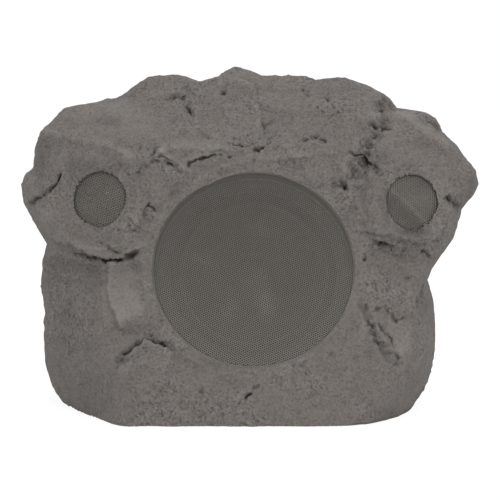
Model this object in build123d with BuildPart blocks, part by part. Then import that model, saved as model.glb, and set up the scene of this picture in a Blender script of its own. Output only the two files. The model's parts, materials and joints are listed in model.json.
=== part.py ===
from build123d import *
import math
import os

os.makedirs("parts", exist_ok=True)

# Rock-shaped garden loudspeaker: one hollow cast rock with a base plate, one 8 inch woofer and two
# dome tweeters behind perforated grilles, and a crossover board inside.
# Millimetres, +Z up. The rock faces -Y. The origin is on the floor, under the woofer's axis.

# Rock
ROCK_WIDTH = 499
ROCK_HEIGHT = 363
ROCK_DEPTH = 352
SHELL_WALL = 9
RELIEF_ROOM = 5  # extra wall behind the uneven waves of the surface
WEATHERING = 2.5  # height of the small uneven waves of the surface
CAVITY_FACETS_ROUND = 48

# Baffle and woofer
BAFFLE_HEIGHT = 158.5
BAFFLE_LEAN = 24
PAD_RADIUS = 119  # the flat round land that carries the woofer grille
LAND_BLEND = 22  # width of the strip in which the uneven surface dies away to the land
GRILLE_RADIUS = 108.5
GRILLE_SHEET = 1.2
GRILLE_CROWN = 4  # rise of the grille's dome
GRILLE_SKIRT = 8
GRILLE_SINK = 0.8  # how far the grille's rim lies below the land
GRILLE_FIT = 0.5
SEAT_STEP = 2  # width of the step that the grille's skirt stands on
WOOFER_SINK = 18  # depth of the ledge that the woofer sits on
LEDGE_THICKNESS = 14
GASKET = 1.5
FRAME_RADIUS = 104.5
FRAME_SHEET = 2
CUTOUT_RADIUS = 92
CUTOUT_FIT = 1.5
BASKET_DEPTH = 50
SPIDER_SHELF_DEPTH = 36
SPIDER_SHELF_RADIUS = 58
BASKET_FOOT_RADIUS = 48
BASKET_ARMS = 6
BASKET_WINDOW_WIDTH = 46
BASKET_RIM_DEPTH = 8
CONE_RADIUS = 79
CONE_DEPTH = 25
CONE_SHEET = 1
CONE_LIP = 4  # flat edge of the cone that the surround is glued to
SURROUND_SHEET = 1
SURROUND_LIP = 4.5
ROLL_STEPS = 8  # straight steps in the section of a half-round roll
DUST_CAP_RADIUS = 27
DUST_CAP_RISE = 9
DUST_CAP_SHEET = 0.8
COIL_RADIUS = 18.5  # inside of the voice coil's former
FORMER_SHEET = 0.4
WINDING_THICKNESS = 1.3
WINDING_HEIGHT = 14
COIL_GAP = 0.6  # running gap on each side of the coil
SPIDER_SHEET = 0.8
SPIDER_WAVES = 4
SPIDER_WAVE_HEIGHT = 1.5
TOP_PLATE_RADIUS = 45
TOP_PLATE_THICKNESS = 6
MAGNET_RADIUS = 50
MAGNET_HOLE_RADIUS = 24
MAGNET_THICKNESS = 18
BACK_PLATE_THICKNESS = 6
POLE_VENT_RADIUS = 6
WOOFER_SCREWS = 8
WOOFER_SCREW_RADIUS = 2
WOOFER_SCREW_LENGTH = 14
WOOFER_SCREW_HEAD_RADIUS = 3.5
WOOFER_SCREW_HEAD = 2.4
TERMINAL_STRIP_WIDTH = 22
TERMINAL_TAB_WIDTH = 5
TERMINAL_TAB_SHEET = 1
TERMINAL_TAB_LENGTH = 8

# Tweeters, one on each side lobe, turned outwards
TWEETER_PLACES = {"left": (-165.5, 230), "right": (171, 227)}  # x, z
TWEETER_FORWARD = 3  # how far the pads stand before the baffle
TWEETER_TURN = 18
TWEETER_LEAN = 16
TWEETER_PAD_RADIUS = 46
TWEETER_PAD_BLEND = 15
TWEETER_GRILLE_RADIUS = 30.7
TWEETER_GRILLE_SHEET = 0.8
TWEETER_GRILLE_CROWN = 2
TWEETER_GRILLE_SKIRT = 3.5
TWEETER_GRILLE_SINK = 0.6
TWEETER_SINK = 11
TWEETER_LEDGE = 12
TWEETER_GASKET = 1
TWEETER_PLATE_THICKNESS = 3
TWEETER_CUTOUT_RADIUS = 23.5
DOME_RADIUS = 12.7
DOME_RISE = 4
DOME_SHEET = 0.4
DOME_ROLL_WIDTH = 1.8
DOME_COIL_HEIGHT = 4
TWEETER_TOP_PLATE = 3
TWEETER_MAGNET_RADIUS = 21.5
TWEETER_MAGNET_THICKNESS = 6
TWEETER_BACK_PLATE = 3
TWEETER_SCREWS = 3
TWEETER_SCREW_RADIUS = 1.2
TWEETER_SCREW_LENGTH = 9
TWEETER_SCREW_HEAD_RADIUS = 2.2
TWEETER_SCREW_HEAD = 1.5

# Perforation of the grilles, a coarse stand for the real fine holes
GRILLE_PITCH = 19
GRILLE_HOLE = 6.5
TWEETER_GRILLE_PITCH = 8.6
TWEETER_GRILLE_HOLE = 3
GRILLE_EDGE = 12  # from a grille's rim to its outermost hole centres
TWEETER_GRILLE_EDGE = 6

# Base
BASE_CENTRE = (-12, 6)
BASE_WIDTH = 300
BASE_DEPTH = 250
BASE_CORNER = 80
BASE_THICKNESS = 8
BASE_GASKET = 2
BASE_FIT = 0.5
BASE_LEDGE_WIDTH = 16
BASE_LEDGE_HEIGHT = 22
BASE_SCREW_RADIUS = 2.4
BASE_SCREW_LENGTH = 20
BASE_SCREW_HEAD_RADIUS = 4.5
BASE_SCREW_HEAD = 3

# Crossover
BOARD_CENTRE = (-12, 45)
BOARD_WIDTH = 150
BOARD_DEPTH = 90
BOARD_THICKNESS = 1.6
STANDOFF_HEIGHT = 10
STANDOFF_RADIUS = 5
BOARD_MARGIN = 8
BOARD_SCREW_RADIUS = 1.5
COIL_OUTER_RADIUS = 20
COIL_HEIGHT = 22
COIL_BORE_RADIUS = 9
CAPACITOR_RADIUS = 9
CAPACITOR_LENGTH = 36
RESISTOR_SIZE = (28, 9, 9)
TERMINAL_BLOCK_SIZE = (64, 14, 14)
TERMINAL_PITCH = 7.5
COIL_CHEEK = 2.5

# Wires and cable gland
LEAD_RADIUS = 2
GLAND_HEIGHT = 52
GLAND_X = -12
GLAND_THREAD_RADIUS = 8
GLAND_FLANGE_RADIUS = 12
GLAND_NUT_RADIUS = 12
GLAND_NUT_HEIGHT = 5
GLAND_FLANGE = 3
GLAND_NECK = 9
GLAND_BORE_RADIUS = 5.5
GLAND_CAP_RADIUS = 11
GLAND_CAP_END = 3
GLAND_POCKET_RADIUS = 17
GLAND_POCKET_DEPTH = 24
GLAND_WALL = 8
CABLE_RADIUS = 3.5

FIT = 0.1  # clearance of a screw in its hole

# The rock's widest outline seen from the front, as (x, z) from the right-hand tip over the crown
OUTLINE = [
    (246, 238), (243, 254), (234, 266), (222, 281), (207, 294), (200, 310), (181, 316), (160, 317),
    (150, 329), (137, 337), (101, 351), (69, 347), (55, 352), (32, 352), (10, 352), (-21, 363),
    (-39, 351), (-61, 344), (-79, 352), (-117, 352), (-139, 336), (-155, 328), (-180, 324), (-208, 320),
    (-215, 312), (-234, 294), (-239, 275), (-240, 256), (-249, 249), (-253, 238), (-251, 217),
    (-238, 194), (-226, 174), (-232, 152), (-233, 125), (-228, 95), (-231, 70), (-230, 42), (-222, 14),
    (-202, -12), (-162, -30), (-130, -34), (-100, -36), (-66, -37), (-33, -38), (0, -38), (33, -38),
    (66, -37), (100, -36), (140, -28), (171, -10), (188, 17), (198, 53), (200, 86), (196, 118),
    (189, 138), (196, 151), (206, 165), (219, 180), (224, 197), (228, 214), (243, 230),
]

# How the front face ends, by the direction seen from the front (0 is +X, 90 is up): the share of the way
# from the land to the outline that stays flat, the roundness of the fall behind it, and the outline's depth
FLAT_SHARE = {
    0: 0.5, 25: 0.6, 60: 0.2, 90: 0.06, 125: 0.18, 155: 0.58, 185: 0.3, 215: 0.3, 222: 0.4, 232: 0.78,
    270: 0.8, 308: 0.55, 325: 0.42,
}
ROUNDNESS = {
    0: 2.0, 25: 2.2, 60: 1.35, 90: 1.2, 125: 1.3, 155: 2.2, 185: 1.6, 215: 1.6, 222: 1.9, 232: 2.4,
    325: 2.0,
}
OUTLINE_DEPTH = {
    0: -5, 20: -10, 45: 15, 70: 45, 115: 45, 135: 20, 163: -10, 185: 0, 225: -10, 270: -20, 315: -10,
}
BACK_RADIUS = 55
BACK_FLAT_SHARE = 0.1
BACK_ROUNDNESS = 2.3

# Lumps (+) and hollows (-) of the front: x, z, half width, half height, rise
LUMPS = [
    (-172, 223, 62, 46, 12), (180, 223, 56, 48, 12), (-152, 162, 46, 15, -17), (162, 162, 40, 15, -14),
    (-71, 290, 62, 14, 10), (42, 286, 56, 13, 9), (-119, 50, 46, 34, 12), (-129, 89, 30, 10, -9),
    (-136, 125, 24, 34, 8), (145, 89, 10, 34, -8), (178, 69, 24, 40, 8), (-207, 217, 22, 8, -9),
    (119, 264, 16, 12, -10), (113, 318, 44, 14, 12), (-152, 294, 50, 20, 8), (-18, 318, 26, 26, 12),
    (-184, 190, 36, 12, 5), (-83, 281, 34, 11, 3), (-167, 279, 44, 12, 3), (170, 305, 30, 12, 3),
    (162, 189, 34, 10, 3),
]

# Cracks of the front: path as (x, z), half width, depth
CRACKS = [
    ([(-209, 257), (-212, 246), (-228, 232)], 3, 6),
    ([(-193, 172), (-161, 166), (-135, 169), (-124, 176)], 3.5, 7),
    ([(-145, 66), (-133, 77), (-116, 89)], 3, 6),
    ([(115, 125), (122, 111), (128, 93), (139, 77), (153, 61)], 5, 6),
    ([(-10, 28), (-2, 33), (6, 42)], 2.5, 5),
    ([(-72, 262), (-66, 269), (-43, 274), (-24, 274)], 2.5, 5),
    ([(-26, 289), (-15, 283), (1, 281), (19, 286)], 2.5, 5),
    ([(103, 279), (117, 273), (127, 265), (135, 259)], 3.5, 7),
    ([(129, 187), (140, 182), (148, 179)], 3, 6),
    ([(-91, 332), (-80, 332), (-71, 325), (-66, 315)], 3, 5),
    ([(125, 308), (136, 306), (147, 303)], 3, 6),
]

FRONT_RINGS = (0, 0.1, 0.22, 0.35, 0.48, 0.61, 0.74, 0.84, 0.92, 0.97, 1)
BACK_RINGS = (0.93, 0.8, 0.64, 0.46, 0.28, 0.13, 0)
CAVITY_FRONT_RINGS = (0, 0.2, 0.4, 0.6, 0.8, 1)
CAVITY_BACK_RINGS = (0.85, 0.6, 0.3, 0)

LEAN_SLOPE = math.tan(math.radians(BAFFLE_LEAN))
BAFFLE_Y = BAFFLE_HEIGHT * LEAN_SLOPE - ROCK_DEPTH / 2
BACK_Y = ROCK_DEPTH / 2
OUTLINE_WIDTH = max(x for x, z in OUTLINE) - min(x for x, z in OUTLINE)
OUTLINE_HEIGHT = max(z for x, z in OUTLINE)
CONE_SLOPE = CONE_DEPTH / (CONE_RADIUS - CONE_LIP - 1 - COIL_RADIUS - FORMER_SHEET - CONE_SHEET / 2)


# Rock surface


def baffle_depth(z):
    """Depth of the leaning baffle at a height."""
    return BAFFLE_Y + (z - BAFFLE_HEIGHT) * LEAN_SLOPE


def face_reach(x, z):
    """Distance from the woofer's axis, measured in the leaning baffle."""
    return math.hypot(x, (z - BAFFLE_HEIGHT) / math.cos(math.radians(BAFFLE_LEAN)))


def land_reach(turn):
    """Reach of the round land as seen from the front, where the lean makes it lower than wide."""
    turn = math.radians(turn)
    return PAD_RADIUS / face_reach(math.cos(turn), BAFFLE_HEIGHT + math.sin(turn))


def ease(share):
    """0 below 0, 1 above 1, and a smooth rise between."""
    share = min(max(share, 0), 1)
    return share * share * (3 - 2 * share)


def by_turn(table, turn):
    """Value of a table of {direction in degrees: value}, in straight steps round the circle."""
    turns = sorted(table)
    turn = turns[0] + (turn - turns[0]) % 360
    last = max(k for k, t in enumerate(turns) if t <= turn)
    following = (last + 1) % len(turns)
    share = (turn - turns[last]) / ((turns[following] - turns[last]) % 360)
    return table[turns[last]] * (1 - share) + table[turns[following]] * share


def outline_reach_table():
    """Distance of the outline from the woofer's axis, by direction."""
    reach = {}
    for x, z in OUTLINE:
        across = x * ROCK_WIDTH / OUTLINE_WIDTH
        up = z * ROCK_HEIGHT / OUTLINE_HEIGHT - BAFFLE_HEIGHT
        reach[math.degrees(math.atan2(up, across)) % 360] = math.hypot(across, up)
    return reach


OUTLINE_REACH = outline_reach_table()


def outline_reach(turn, share):
    """Reach of the outline, with its notches smoothed away towards the middle of the front and back."""
    smooth = sum(by_turn(OUTLINE_REACH, turn + step) for step in (-16, -8, 0, 8, 16)) / 5
    return smooth + (by_turn(OUTLINE_REACH, turn) - smooth) * share**4


def relief(x, z, share, highest=math.inf):
    """Rise of the lumps and hollows above the plain front, nil on the woofer's land and at the outline."""
    off_land = ease((face_reach(x, z) - PAD_RADIUS) / LAND_BLEND)
    lumps = [lump for lump in LUMPS if lump[4] < highest]
    rise = sum(h * math.exp(-(((x - cx) / rx) ** 2) - ((z - cz) / rz) ** 2) for cx, cz, rx, rz, h in lumps)
    return rise * off_land * (1 - share**6)


def waves(x, y, z):
    """Depth of the small uneven waves that the weather has eaten into the surface."""
    slow = math.sin(x / 23 + 1.3) * math.cos(z / 19 - 0.7) + math.sin(y / 21 + z / 27) * math.cos(x / 25)
    return WEATHERING * (0.6 + slow / 2 + 0.5 * math.sin(x / 11 + y / 13) * math.sin(z / 12 + 2))


def onto_tweeter_pads(x, y, z):
    """Depth of a front point after the two flat tweeter pads are pressed into the surface."""
    for px, pz in TWEETER_PLACES.values():
        py = baffle_depth(pz) - TWEETER_FORWARD
        outwards = math.copysign(math.tan(math.radians(TWEETER_TURN)), px)
        pad_y = py + (x - px) * outwards + (z - pz) * math.tan(math.radians(TWEETER_LEAN))
        away = ease((math.hypot(x - px, z - pz) - TWEETER_PAD_RADIUS) / TWEETER_PAD_BLEND)
        y = pad_y + (y - pad_y) * away
    return y


def rock_point(turn, share, front, inset=0):
    """Point of the rock, share of the way from the middle of its front (or back) to the widest outline.

    With an inset, the same form that much further in, with the hollows but without lumps and waves."""
    middle = land_reach(turn) if front else BACK_RADIUS
    outline = outline_reach(turn, share) - inset
    radius = middle + (outline - middle) * share
    x = radius * math.cos(math.radians(turn))
    z = BAFFLE_HEIGHT + radius * math.sin(math.radians(turn))
    face = baffle_depth(z) + inset if front else BACK_Y - inset
    flat = by_turn(FLAT_SHARE, turn) if front else BACK_FLAT_SHARE
    roundness = by_turn(ROUNDNESS, turn) if front else BACK_ROUNDNESS
    fall = min(max((share - flat) / (1 - flat), 0), 1)
    rim = by_turn(OUTLINE_DEPTH, turn)
    y = rim + (face - rim) * (1 - fall**roundness) ** (1 / roundness)
    if inset and front:
        return Vector(x, y - relief(x, z, share, highest=0), z)
    if 0 < share < 1:
        fade = 1 - share**6 if front else ease(share / 0.25) * (1 - share**6)
        off_land = ease((face_reach(x, z) - PAD_RADIUS) / LAND_BLEND) if front else 1
        y += waves(x, y, z) * fade * off_land * (1 if front else -1)
        if front:
            y = onto_tweeter_pads(x, y - relief(x, z, share), z)
    return Vector(x, y, z)


def rock_rings(front_rings, back_rings, turns, inset=0):
    """Closed rings of points from the middle of the front, over the outline, to the middle of the back.

    Every other ring is turned by half a step, so that the facets are staggered."""
    halfway = [(a + ((b - a) % 360) / 2) % 360 for a, b in zip(turns, turns[1:] + turns[:1])]
    laps = [(share, True) for share in front_rings] + [(share, False) for share in back_rings]
    return [
        [rock_point(turn, share, front, inset) for turn in (halfway if k % 2 else turns)]
        for k, (share, front) in enumerate(laps)
    ]


def faceted_solid(rings):
    """Solid of flat triangles between neighbouring rings, closed by the flat first and last ring."""
    faces = [Face(Wire.make_polygon(rings[0])), Face(Wire.make_polygon(rings[-1]))]
    for k, (ring, following) in enumerate(zip(rings, rings[1:])):
        count = len(ring)
        for i in range(count):
            j = (i + 1) % count
            shared = following[i] if k % 2 == 0 else following[j]
            faces.append(Face(Wire.make_polygon([ring[i], ring[j], shared])))
            tip = ring[j] if k % 2 == 0 else ring[i]
            faces.append(Face(Wire.make_polygon([following[i], following[j], tip])))
    return Solid(Shell(Face.sew_faces(faces)[0]))


def front_point(x, z):
    """Point of the rock's front at a place seen from the front."""
    turn = math.degrees(math.atan2(z - BAFFLE_HEIGHT, x))
    land = land_reach(turn)
    share = 0.5
    for settle in range(20):
        share = (math.hypot(x, z - BAFFLE_HEIGHT) - land) / (outline_reach(turn, share) - land)
    return rock_point(turn, share, True)


def crack_wedge(path, half_width, depth):
    """Solid wedge along a path on the front, its edge a depth below the surface, pointed at both ends."""
    spine = [front_point(x, z) for x, z in path]
    out = Vector(0, -depth, 0)
    sections = []
    for before, here, after in zip(spine, spine[1:], spine[2:]):
        across = (after - before).cross(out).normalized() * 2 * half_width
        sections.append([here + out + across, here + out - across, here - out])
    corners = [(0, 1), (1, 2), (2, 0)]
    faces = [[ring[j], ring[i], spine[0]] for ring in sections[:1] for i, j in corners]
    faces += [[ring[i], ring[j], spine[-1]] for ring in sections[-1:] for i, j in corners]
    for ring, following in zip(sections, sections[1:]):
        faces += [[ring[i], ring[j], following[j]] for i, j in corners]
        faces += [[ring[i], following[j], following[i]] for i, j in corners]
    return Solid(Shell(Face.sew_faces([Face(Wire.make_polygon(face)) for face in faces])[0]))


# Working planes


def section_of(seat):
    """Plane through a seat's axis, for profiles drawn as (radius, height above the seat)."""
    return Plane(origin=seat.origin, x_dir=seat.x_dir, z_dir=seat.x_dir.cross(seat.z_dir))


def axis_of(seat):
    return Axis(seat.origin, seat.z_dir)


def tweeter_plane(place):
    """Plane of a tweeter's pad: x sideways, z out of the rock."""
    x, z = place
    turn = math.copysign(math.radians(TWEETER_TURN), x)
    lean = math.radians(TWEETER_LEAN)
    outwards = (math.sin(turn) * math.cos(lean), -math.cos(turn) * math.cos(lean), math.sin(lean))
    origin = (x, baffle_depth(z) - TWEETER_FORWARD, z)
    return Plane(origin=origin, x_dir=(math.cos(turn), math.sin(turn), 0), z_dir=outwards)


def hex_grid(pitch, limit):
    """Points of a honeycomb grid within a radius."""
    count = int(limit / pitch) + 1
    grid = [
        (pitch * (i + j % 2 / 2), pitch * math.sqrt(3) / 2 * j)
        for i in range(-count, count + 1)
        for j in range(-count - 1, count + 2)
    ]
    return [point for point in grid if math.hypot(*point) < limit]


lean = math.radians(BAFFLE_LEAN)
BAFFLE = Plane(
    origin=(0, BAFFLE_Y, BAFFLE_HEIGHT), x_dir=(1, 0, 0), z_dir=(0, -math.cos(lean), math.sin(lean))
)
WOOFER_LEDGE = BAFFLE.offset(-WOOFER_SINK)
WOOFER = WOOFER_LEDGE.offset(GASKET)
TWEETERS = {side: tweeter_plane(place) for side, place in TWEETER_PLACES.items()}

GRILLE_SEAT_DEPTH = GRILLE_SINK + GRILLE_SKIRT
POCKET_RADIUS = GRILLE_RADIUS + GRILLE_FIT
LOWER_POCKET_RADIUS = POCKET_RADIUS - SEAT_STEP
SCREW_CIRCLE = (FRAME_RADIUS + CUTOUT_RADIUS) / 2 + 1.5
TWEETER_POCKET_RADIUS = TWEETER_GRILLE_RADIUS + GRILLE_FIT
TWEETER_LOWER_POCKET = TWEETER_POCKET_RADIUS - SEAT_STEP
TWEETER_PLATE_RADIUS = TWEETER_LOWER_POCKET - GRILLE_FIT
TWEETER_SCREW_CIRCLE = (TWEETER_PLATE_RADIUS + TWEETER_CUTOUT_RADIUS) / 2
LEDGE_Z = BASE_THICKNESS + BASE_GASKET
BASE_SCREW_RECESS = BASE_SCREW_HEAD + 0.5
BOARD_Z = BASE_THICKNESS + STANDOFF_HEIGHT
BOARD_TOP = BOARD_Z + BOARD_THICKNESS
TWEETER_SEAT_DEPTH = TWEETER_GRILLE_SINK + TWEETER_GRILLE_SKIRT
TWEETER_BORE_DEPTH = TWEETER_LEDGE + SHELL_WALL + RELIEF_ROOM
DOME_OUTER_RADIUS = DOME_RADIUS + 2 * DOME_ROLL_WIDTH
BASKET_RADIUS = CUTOUT_RADIUS - CUTOUT_FIT - FRAME_SHEET / 2
SURROUND_OUTER_RADIUS = BASKET_RADIUS + FRAME_SHEET / 2
CONE_TOP = FRAME_SHEET - CONE_SHEET / 2
CONE_NECK_RADIUS = COIL_RADIUS + FORMER_SHEET + CONE_SHEET / 2
DUST_CAP_BASE = CONE_TOP - CONE_DEPTH + (DUST_CAP_RADIUS - CONE_NECK_RADIUS) * CONE_SLOPE + CONE_SHEET
WINDING_RADIUS = COIL_RADIUS + FORMER_SHEET + WINDING_THICKNESS
TOP_PLATE_TOP = -BASKET_DEPTH - FRAME_SHEET
WINDING_BOTTOM = TOP_PLATE_TOP - TOP_PLATE_THICKNESS / 2 - WINDING_HEIGHT / 2
FORMER_BOTTOM = WINDING_BOTTOM - 2
FORMER_TOP = CONE_TOP - CONE_DEPTH + 2 * CONE_SHEET
YOKE_TOP = TOP_PLATE_TOP - TOP_PLATE_THICKNESS - MAGNET_THICKNESS
SPIDER_WAVES_START = CONE_NECK_RADIUS + 3
SPIDER_WAVES_END = BASKET_FOOT_RADIUS - FRAME_SHEET / 2 - SPIDER_SHEET
TERMINAL_RADIUS = (SPIDER_SHELF_RADIUS + BASKET_FOOT_RADIUS) / 2
TERMINAL_STRIP_DEPTH = 0.7 * (SPIDER_SHELF_RADIUS - BASKET_FOOT_RADIUS)
TERMINALS = WOOFER.offset(-SPIDER_SHELF_DEPTH - FRAME_SHEET)
GLAND_FACE_Y = BACK_Y - GLAND_POCKET_DEPTH
GLAND = Plane(origin=(GLAND_X, GLAND_FACE_Y, GLAND_HEIGHT), x_dir=(-1, 0, 0), z_dir=(0, 1, 0))


def base_screw_points():
    """Screws round the base: along the straight sides and at the middle of each corner's arc."""
    inset = BASE_LEDGE_WIDTH / 2
    across = BASE_WIDTH / 2 - inset
    along = BASE_DEPTH / 2 - inset
    corner = (BASE_CORNER - inset) * (1 - math.sqrt(0.5))
    sides = [(across, 0), (-across, 0), (0, along), (0, -along)]
    corners = [(sx * (across - corner), sy * (along - corner)) for sx in (1, -1) for sy in (1, -1)]
    return [(BASE_CENTRE[0] + x, BASE_CENTRE[1] + y) for x, y in sides + corners]


def base_outline(grow):
    """Rounded outline of the base in the current sketch, grown or shrunk."""
    with Locations(BASE_CENTRE):
        RectangleRounded(BASE_WIDTH + 2 * grow, BASE_DEPTH + 2 * grow, BASE_CORNER + grow)


def grille_section(radius, sheet, crown, sink, skirt):
    """Half section of a domed grille: a shallow ball cap, a bevelled rim and a straight skirt."""
    edge = radius - 2 * sheet
    ball = (edge**2 + crown**2) / (2 * crown)
    middle = (0, crown - sink - ball)
    reach = math.degrees(math.asin(edge / ball))
    with BuildSketch() as section:
        with BuildLine():
            outer = CenterArc(middle, ball, 90, -reach)
            inner = CenterArc(middle, ball - sheet, 90, -reach)
            Polyline(
                outer @ 1,
                (radius, -sink - 2 * sheet),
                (radius, -sink - skirt),
                (radius - sheet, -sink - skirt),
                (radius - sheet, -sink - 2.5 * sheet),
                inner @ 1,
            )
            Line(outer @ 0, inner @ 0)
        make_face()
    return section.sketch


def half_roll(start, end, height):
    """Points of a half-round roll standing on a height, from one radius to another in straight steps."""
    middle = (start + end) / 2
    half = (end - start) / 2
    turns = [math.pi * i / ROLL_STEPS for i in range(ROLL_STEPS + 1)]
    return [(middle - half * math.cos(turn), height + half * math.sin(turn)) for turn in turns]


def cap_section(radius, rise, sheet, base):
    """Half section of a ball cap of thin sheet, standing on a base height."""
    ball = (radius**2 + rise**2) / (2 * rise)
    middle = (0, base + rise - ball)
    reach = math.degrees(math.asin(radius / ball))
    with BuildSketch() as section:
        with BuildLine():
            outer = CenterArc(middle, ball + sheet / 2, 90, -reach)
            inner = CenterArc(middle, ball - sheet / 2, 90, -reach)
            Line(outer @ 0, inner @ 0)
            Line(outer @ 1, inner @ 1)
        make_face()
    return section.sketch


def board_point(across, along):
    """Point on top of the crossover board, by shares of its width and depth from its middle."""
    return Vector(BOARD_CENTRE[0] + across * BOARD_WIDTH, BOARD_CENTRE[1] + along * BOARD_DEPTH, BOARD_TOP)


BASE_SCREWS = base_screw_points()
BOARD_SCREW_ACROSS = BOARD_WIDTH / 2 - BOARD_MARGIN
BOARD_SCREW_ALONG = BOARD_DEPTH / 2 - BOARD_MARGIN
BOARD_SCREWS = [
    (BOARD_CENTRE[0] + sx * BOARD_SCREW_ACROSS, BOARD_CENTRE[1] + sy * BOARD_SCREW_ALONG)
    for sx in (1, -1)
    for sy in (1, -1)
]


# Enclosure

# Everything that is hollow in the rock: the room inside, less the bosses behind the three openings and
# the gland, and then the openings themselves
with BuildPart() as hollow:
    cavity_turns = [360 / CAVITY_FACETS_ROUND * i for i in range(CAVITY_FACETS_ROUND)]
    cavity_inset = SHELL_WALL + RELIEF_ROOM
    add(faceted_solid(rock_rings(CAVITY_FRONT_RINGS, CAVITY_BACK_RINGS, cavity_turns, cavity_inset)))
    split(bisect_by=Plane.XY.offset(LEDGE_Z + BASE_LEDGE_HEIGHT), keep=Keep.TOP)
    with BuildSketch(WOOFER_LEDGE.offset(-LEDGE_THICKNESS)):
        Circle(PAD_RADIUS)
    extrude(amount=LEDGE_THICKNESS + WOOFER_SINK, mode=Mode.SUBTRACT)
    for plane in TWEETERS.values():
        with BuildSketch(plane.offset(-TWEETER_SINK - TWEETER_LEDGE)):
            Circle(TWEETER_POCKET_RADIUS + SHELL_WALL)
        extrude(amount=TWEETER_SINK + TWEETER_LEDGE, mode=Mode.SUBTRACT)
    with BuildSketch(GLAND.offset(-GLAND_WALL)):
        Circle(GLAND_POCKET_RADIUS + SHELL_WALL)
    extrude(amount=GLAND_WALL + GLAND_POCKET_DEPTH, mode=Mode.SUBTRACT)
    with BuildSketch(Plane.XY):
        base_outline(BASE_FIT)
    extrude(amount=LEDGE_Z)
    with BuildSketch(Plane.XY.offset(LEDGE_Z)):
        base_outline(-BASE_LEDGE_WIDTH)
    extrude(amount=BASE_LEDGE_HEIGHT)
    with BuildSketch(Plane.XY.offset(LEDGE_Z)):
        with Locations(*BASE_SCREWS):
            Circle(BASE_SCREW_RADIUS + FIT)
    extrude(amount=BASE_SCREW_LENGTH - BASE_GASKET)
    with BuildSketch(BAFFLE.offset(-GRILLE_SEAT_DEPTH)):
        Circle(POCKET_RADIUS)
    extrude(amount=GRILLE_SEAT_DEPTH + PAD_RADIUS)
    with BuildSketch(WOOFER_LEDGE):
        Circle(LOWER_POCKET_RADIUS)
    extrude(amount=WOOFER_SINK)
    with BuildSketch(WOOFER_LEDGE.offset(-LEDGE_THICKNESS)):
        Circle(CUTOUT_RADIUS)
    extrude(amount=LEDGE_THICKNESS)
    with BuildSketch(WOOFER_LEDGE):
        with PolarLocations(SCREW_CIRCLE, WOOFER_SCREWS):
            Circle(WOOFER_SCREW_RADIUS + FIT)
    extrude(amount=-WOOFER_SCREW_LENGTH)
    for plane in TWEETERS.values():
        with BuildSketch(plane.offset(-TWEETER_SEAT_DEPTH)):
            Circle(TWEETER_POCKET_RADIUS)
        extrude(amount=TWEETER_SEAT_DEPTH + TWEETER_PAD_RADIUS)
        with BuildSketch(plane.offset(-TWEETER_SINK)):
            Circle(TWEETER_LOWER_POCKET)
        extrude(amount=TWEETER_SINK)
        with BuildSketch(plane.offset(-TWEETER_SINK)):
            Circle(TWEETER_CUTOUT_RADIUS)
        extrude(amount=-TWEETER_BORE_DEPTH)
        with BuildSketch(plane.offset(-TWEETER_SINK)):
            with PolarLocations(TWEETER_SCREW_CIRCLE, TWEETER_SCREWS, start_angle=90):
                Circle(TWEETER_SCREW_RADIUS + FIT)
        extrude(amount=-TWEETER_SCREW_LENGTH)
    with BuildSketch(GLAND):
        Circle(GLAND_POCKET_RADIUS)
    extrude(amount=2 * GLAND_POCKET_DEPTH)
    with BuildSketch(GLAND):
        Circle(GLAND_THREAD_RADIUS + FIT)
    extrude(amount=-GLAND_WALL)
    with BuildSketch(GLAND.offset(-GLAND_WALL)):
        Circle(GLAND_NUT_RADIUS + 2)
    extrude(amount=-SHELL_WALL - GLAND_NUT_HEIGHT)

with BuildPart() as rock_shell:
    add(faceted_solid(rock_rings(FRONT_RINGS, BACK_RINGS, sorted(OUTLINE_REACH))))
    split(bisect_by=Plane.XY, keep=Keep.TOP)
    add([crack_wedge(*crack) for crack in CRACKS], mode=Mode.SUBTRACT)
    add(hollow.part, mode=Mode.SUBTRACT)
rock_shell.part.label = "rock_shell"
export_step(rock_shell.part, "parts/rock_shell.step")

with BuildPart() as base_plate:
    with BuildSketch(Plane.XY):
        base_outline(0)
    extrude(amount=BASE_THICKNESS)
    with BuildSketch(Plane.XY.offset(BASE_THICKNESS)):
        with Locations(*BOARD_SCREWS):
            Circle(STANDOFF_RADIUS)
    extrude(amount=STANDOFF_HEIGHT)
    with BuildSketch(Plane.XY.offset(BOARD_Z)):
        with Locations(*BOARD_SCREWS):
            Circle(BOARD_SCREW_RADIUS + FIT)
    extrude(amount=-STANDOFF_HEIGHT, mode=Mode.SUBTRACT)
    with BuildSketch(Plane.XY):
        with Locations(*BASE_SCREWS):
            Circle(BASE_SCREW_RADIUS + 2 * FIT)
    extrude(amount=BASE_THICKNESS, mode=Mode.SUBTRACT)
    with BuildSketch(Plane.XY):
        with Locations(*BASE_SCREWS):
            Circle(BASE_SCREW_HEAD_RADIUS + 5 * FIT)
    extrude(amount=BASE_SCREW_RECESS, mode=Mode.SUBTRACT)
base_plate.part.label = "base_plate"
export_step(base_plate.part, "parts/base_plate.step")

with BuildPart() as base_gasket:
    with BuildSketch(Plane.XY.offset(BASE_THICKNESS)):
        base_outline(0)
        with Locations(BASE_CENTRE):
            RectangleRounded(
                BASE_WIDTH - 2 * BASE_LEDGE_WIDTH,
                BASE_DEPTH - 2 * BASE_LEDGE_WIDTH,
                BASE_CORNER - BASE_LEDGE_WIDTH,
                mode=Mode.SUBTRACT,
            )
        with Locations(*BASE_SCREWS):
            Circle(BASE_SCREW_RADIUS + FIT, mode=Mode.SUBTRACT)
    extrude(amount=BASE_GASKET)
base_gasket.part.label = "base_gasket"
export_step(base_gasket.part, "parts/base_gasket.step")

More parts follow.
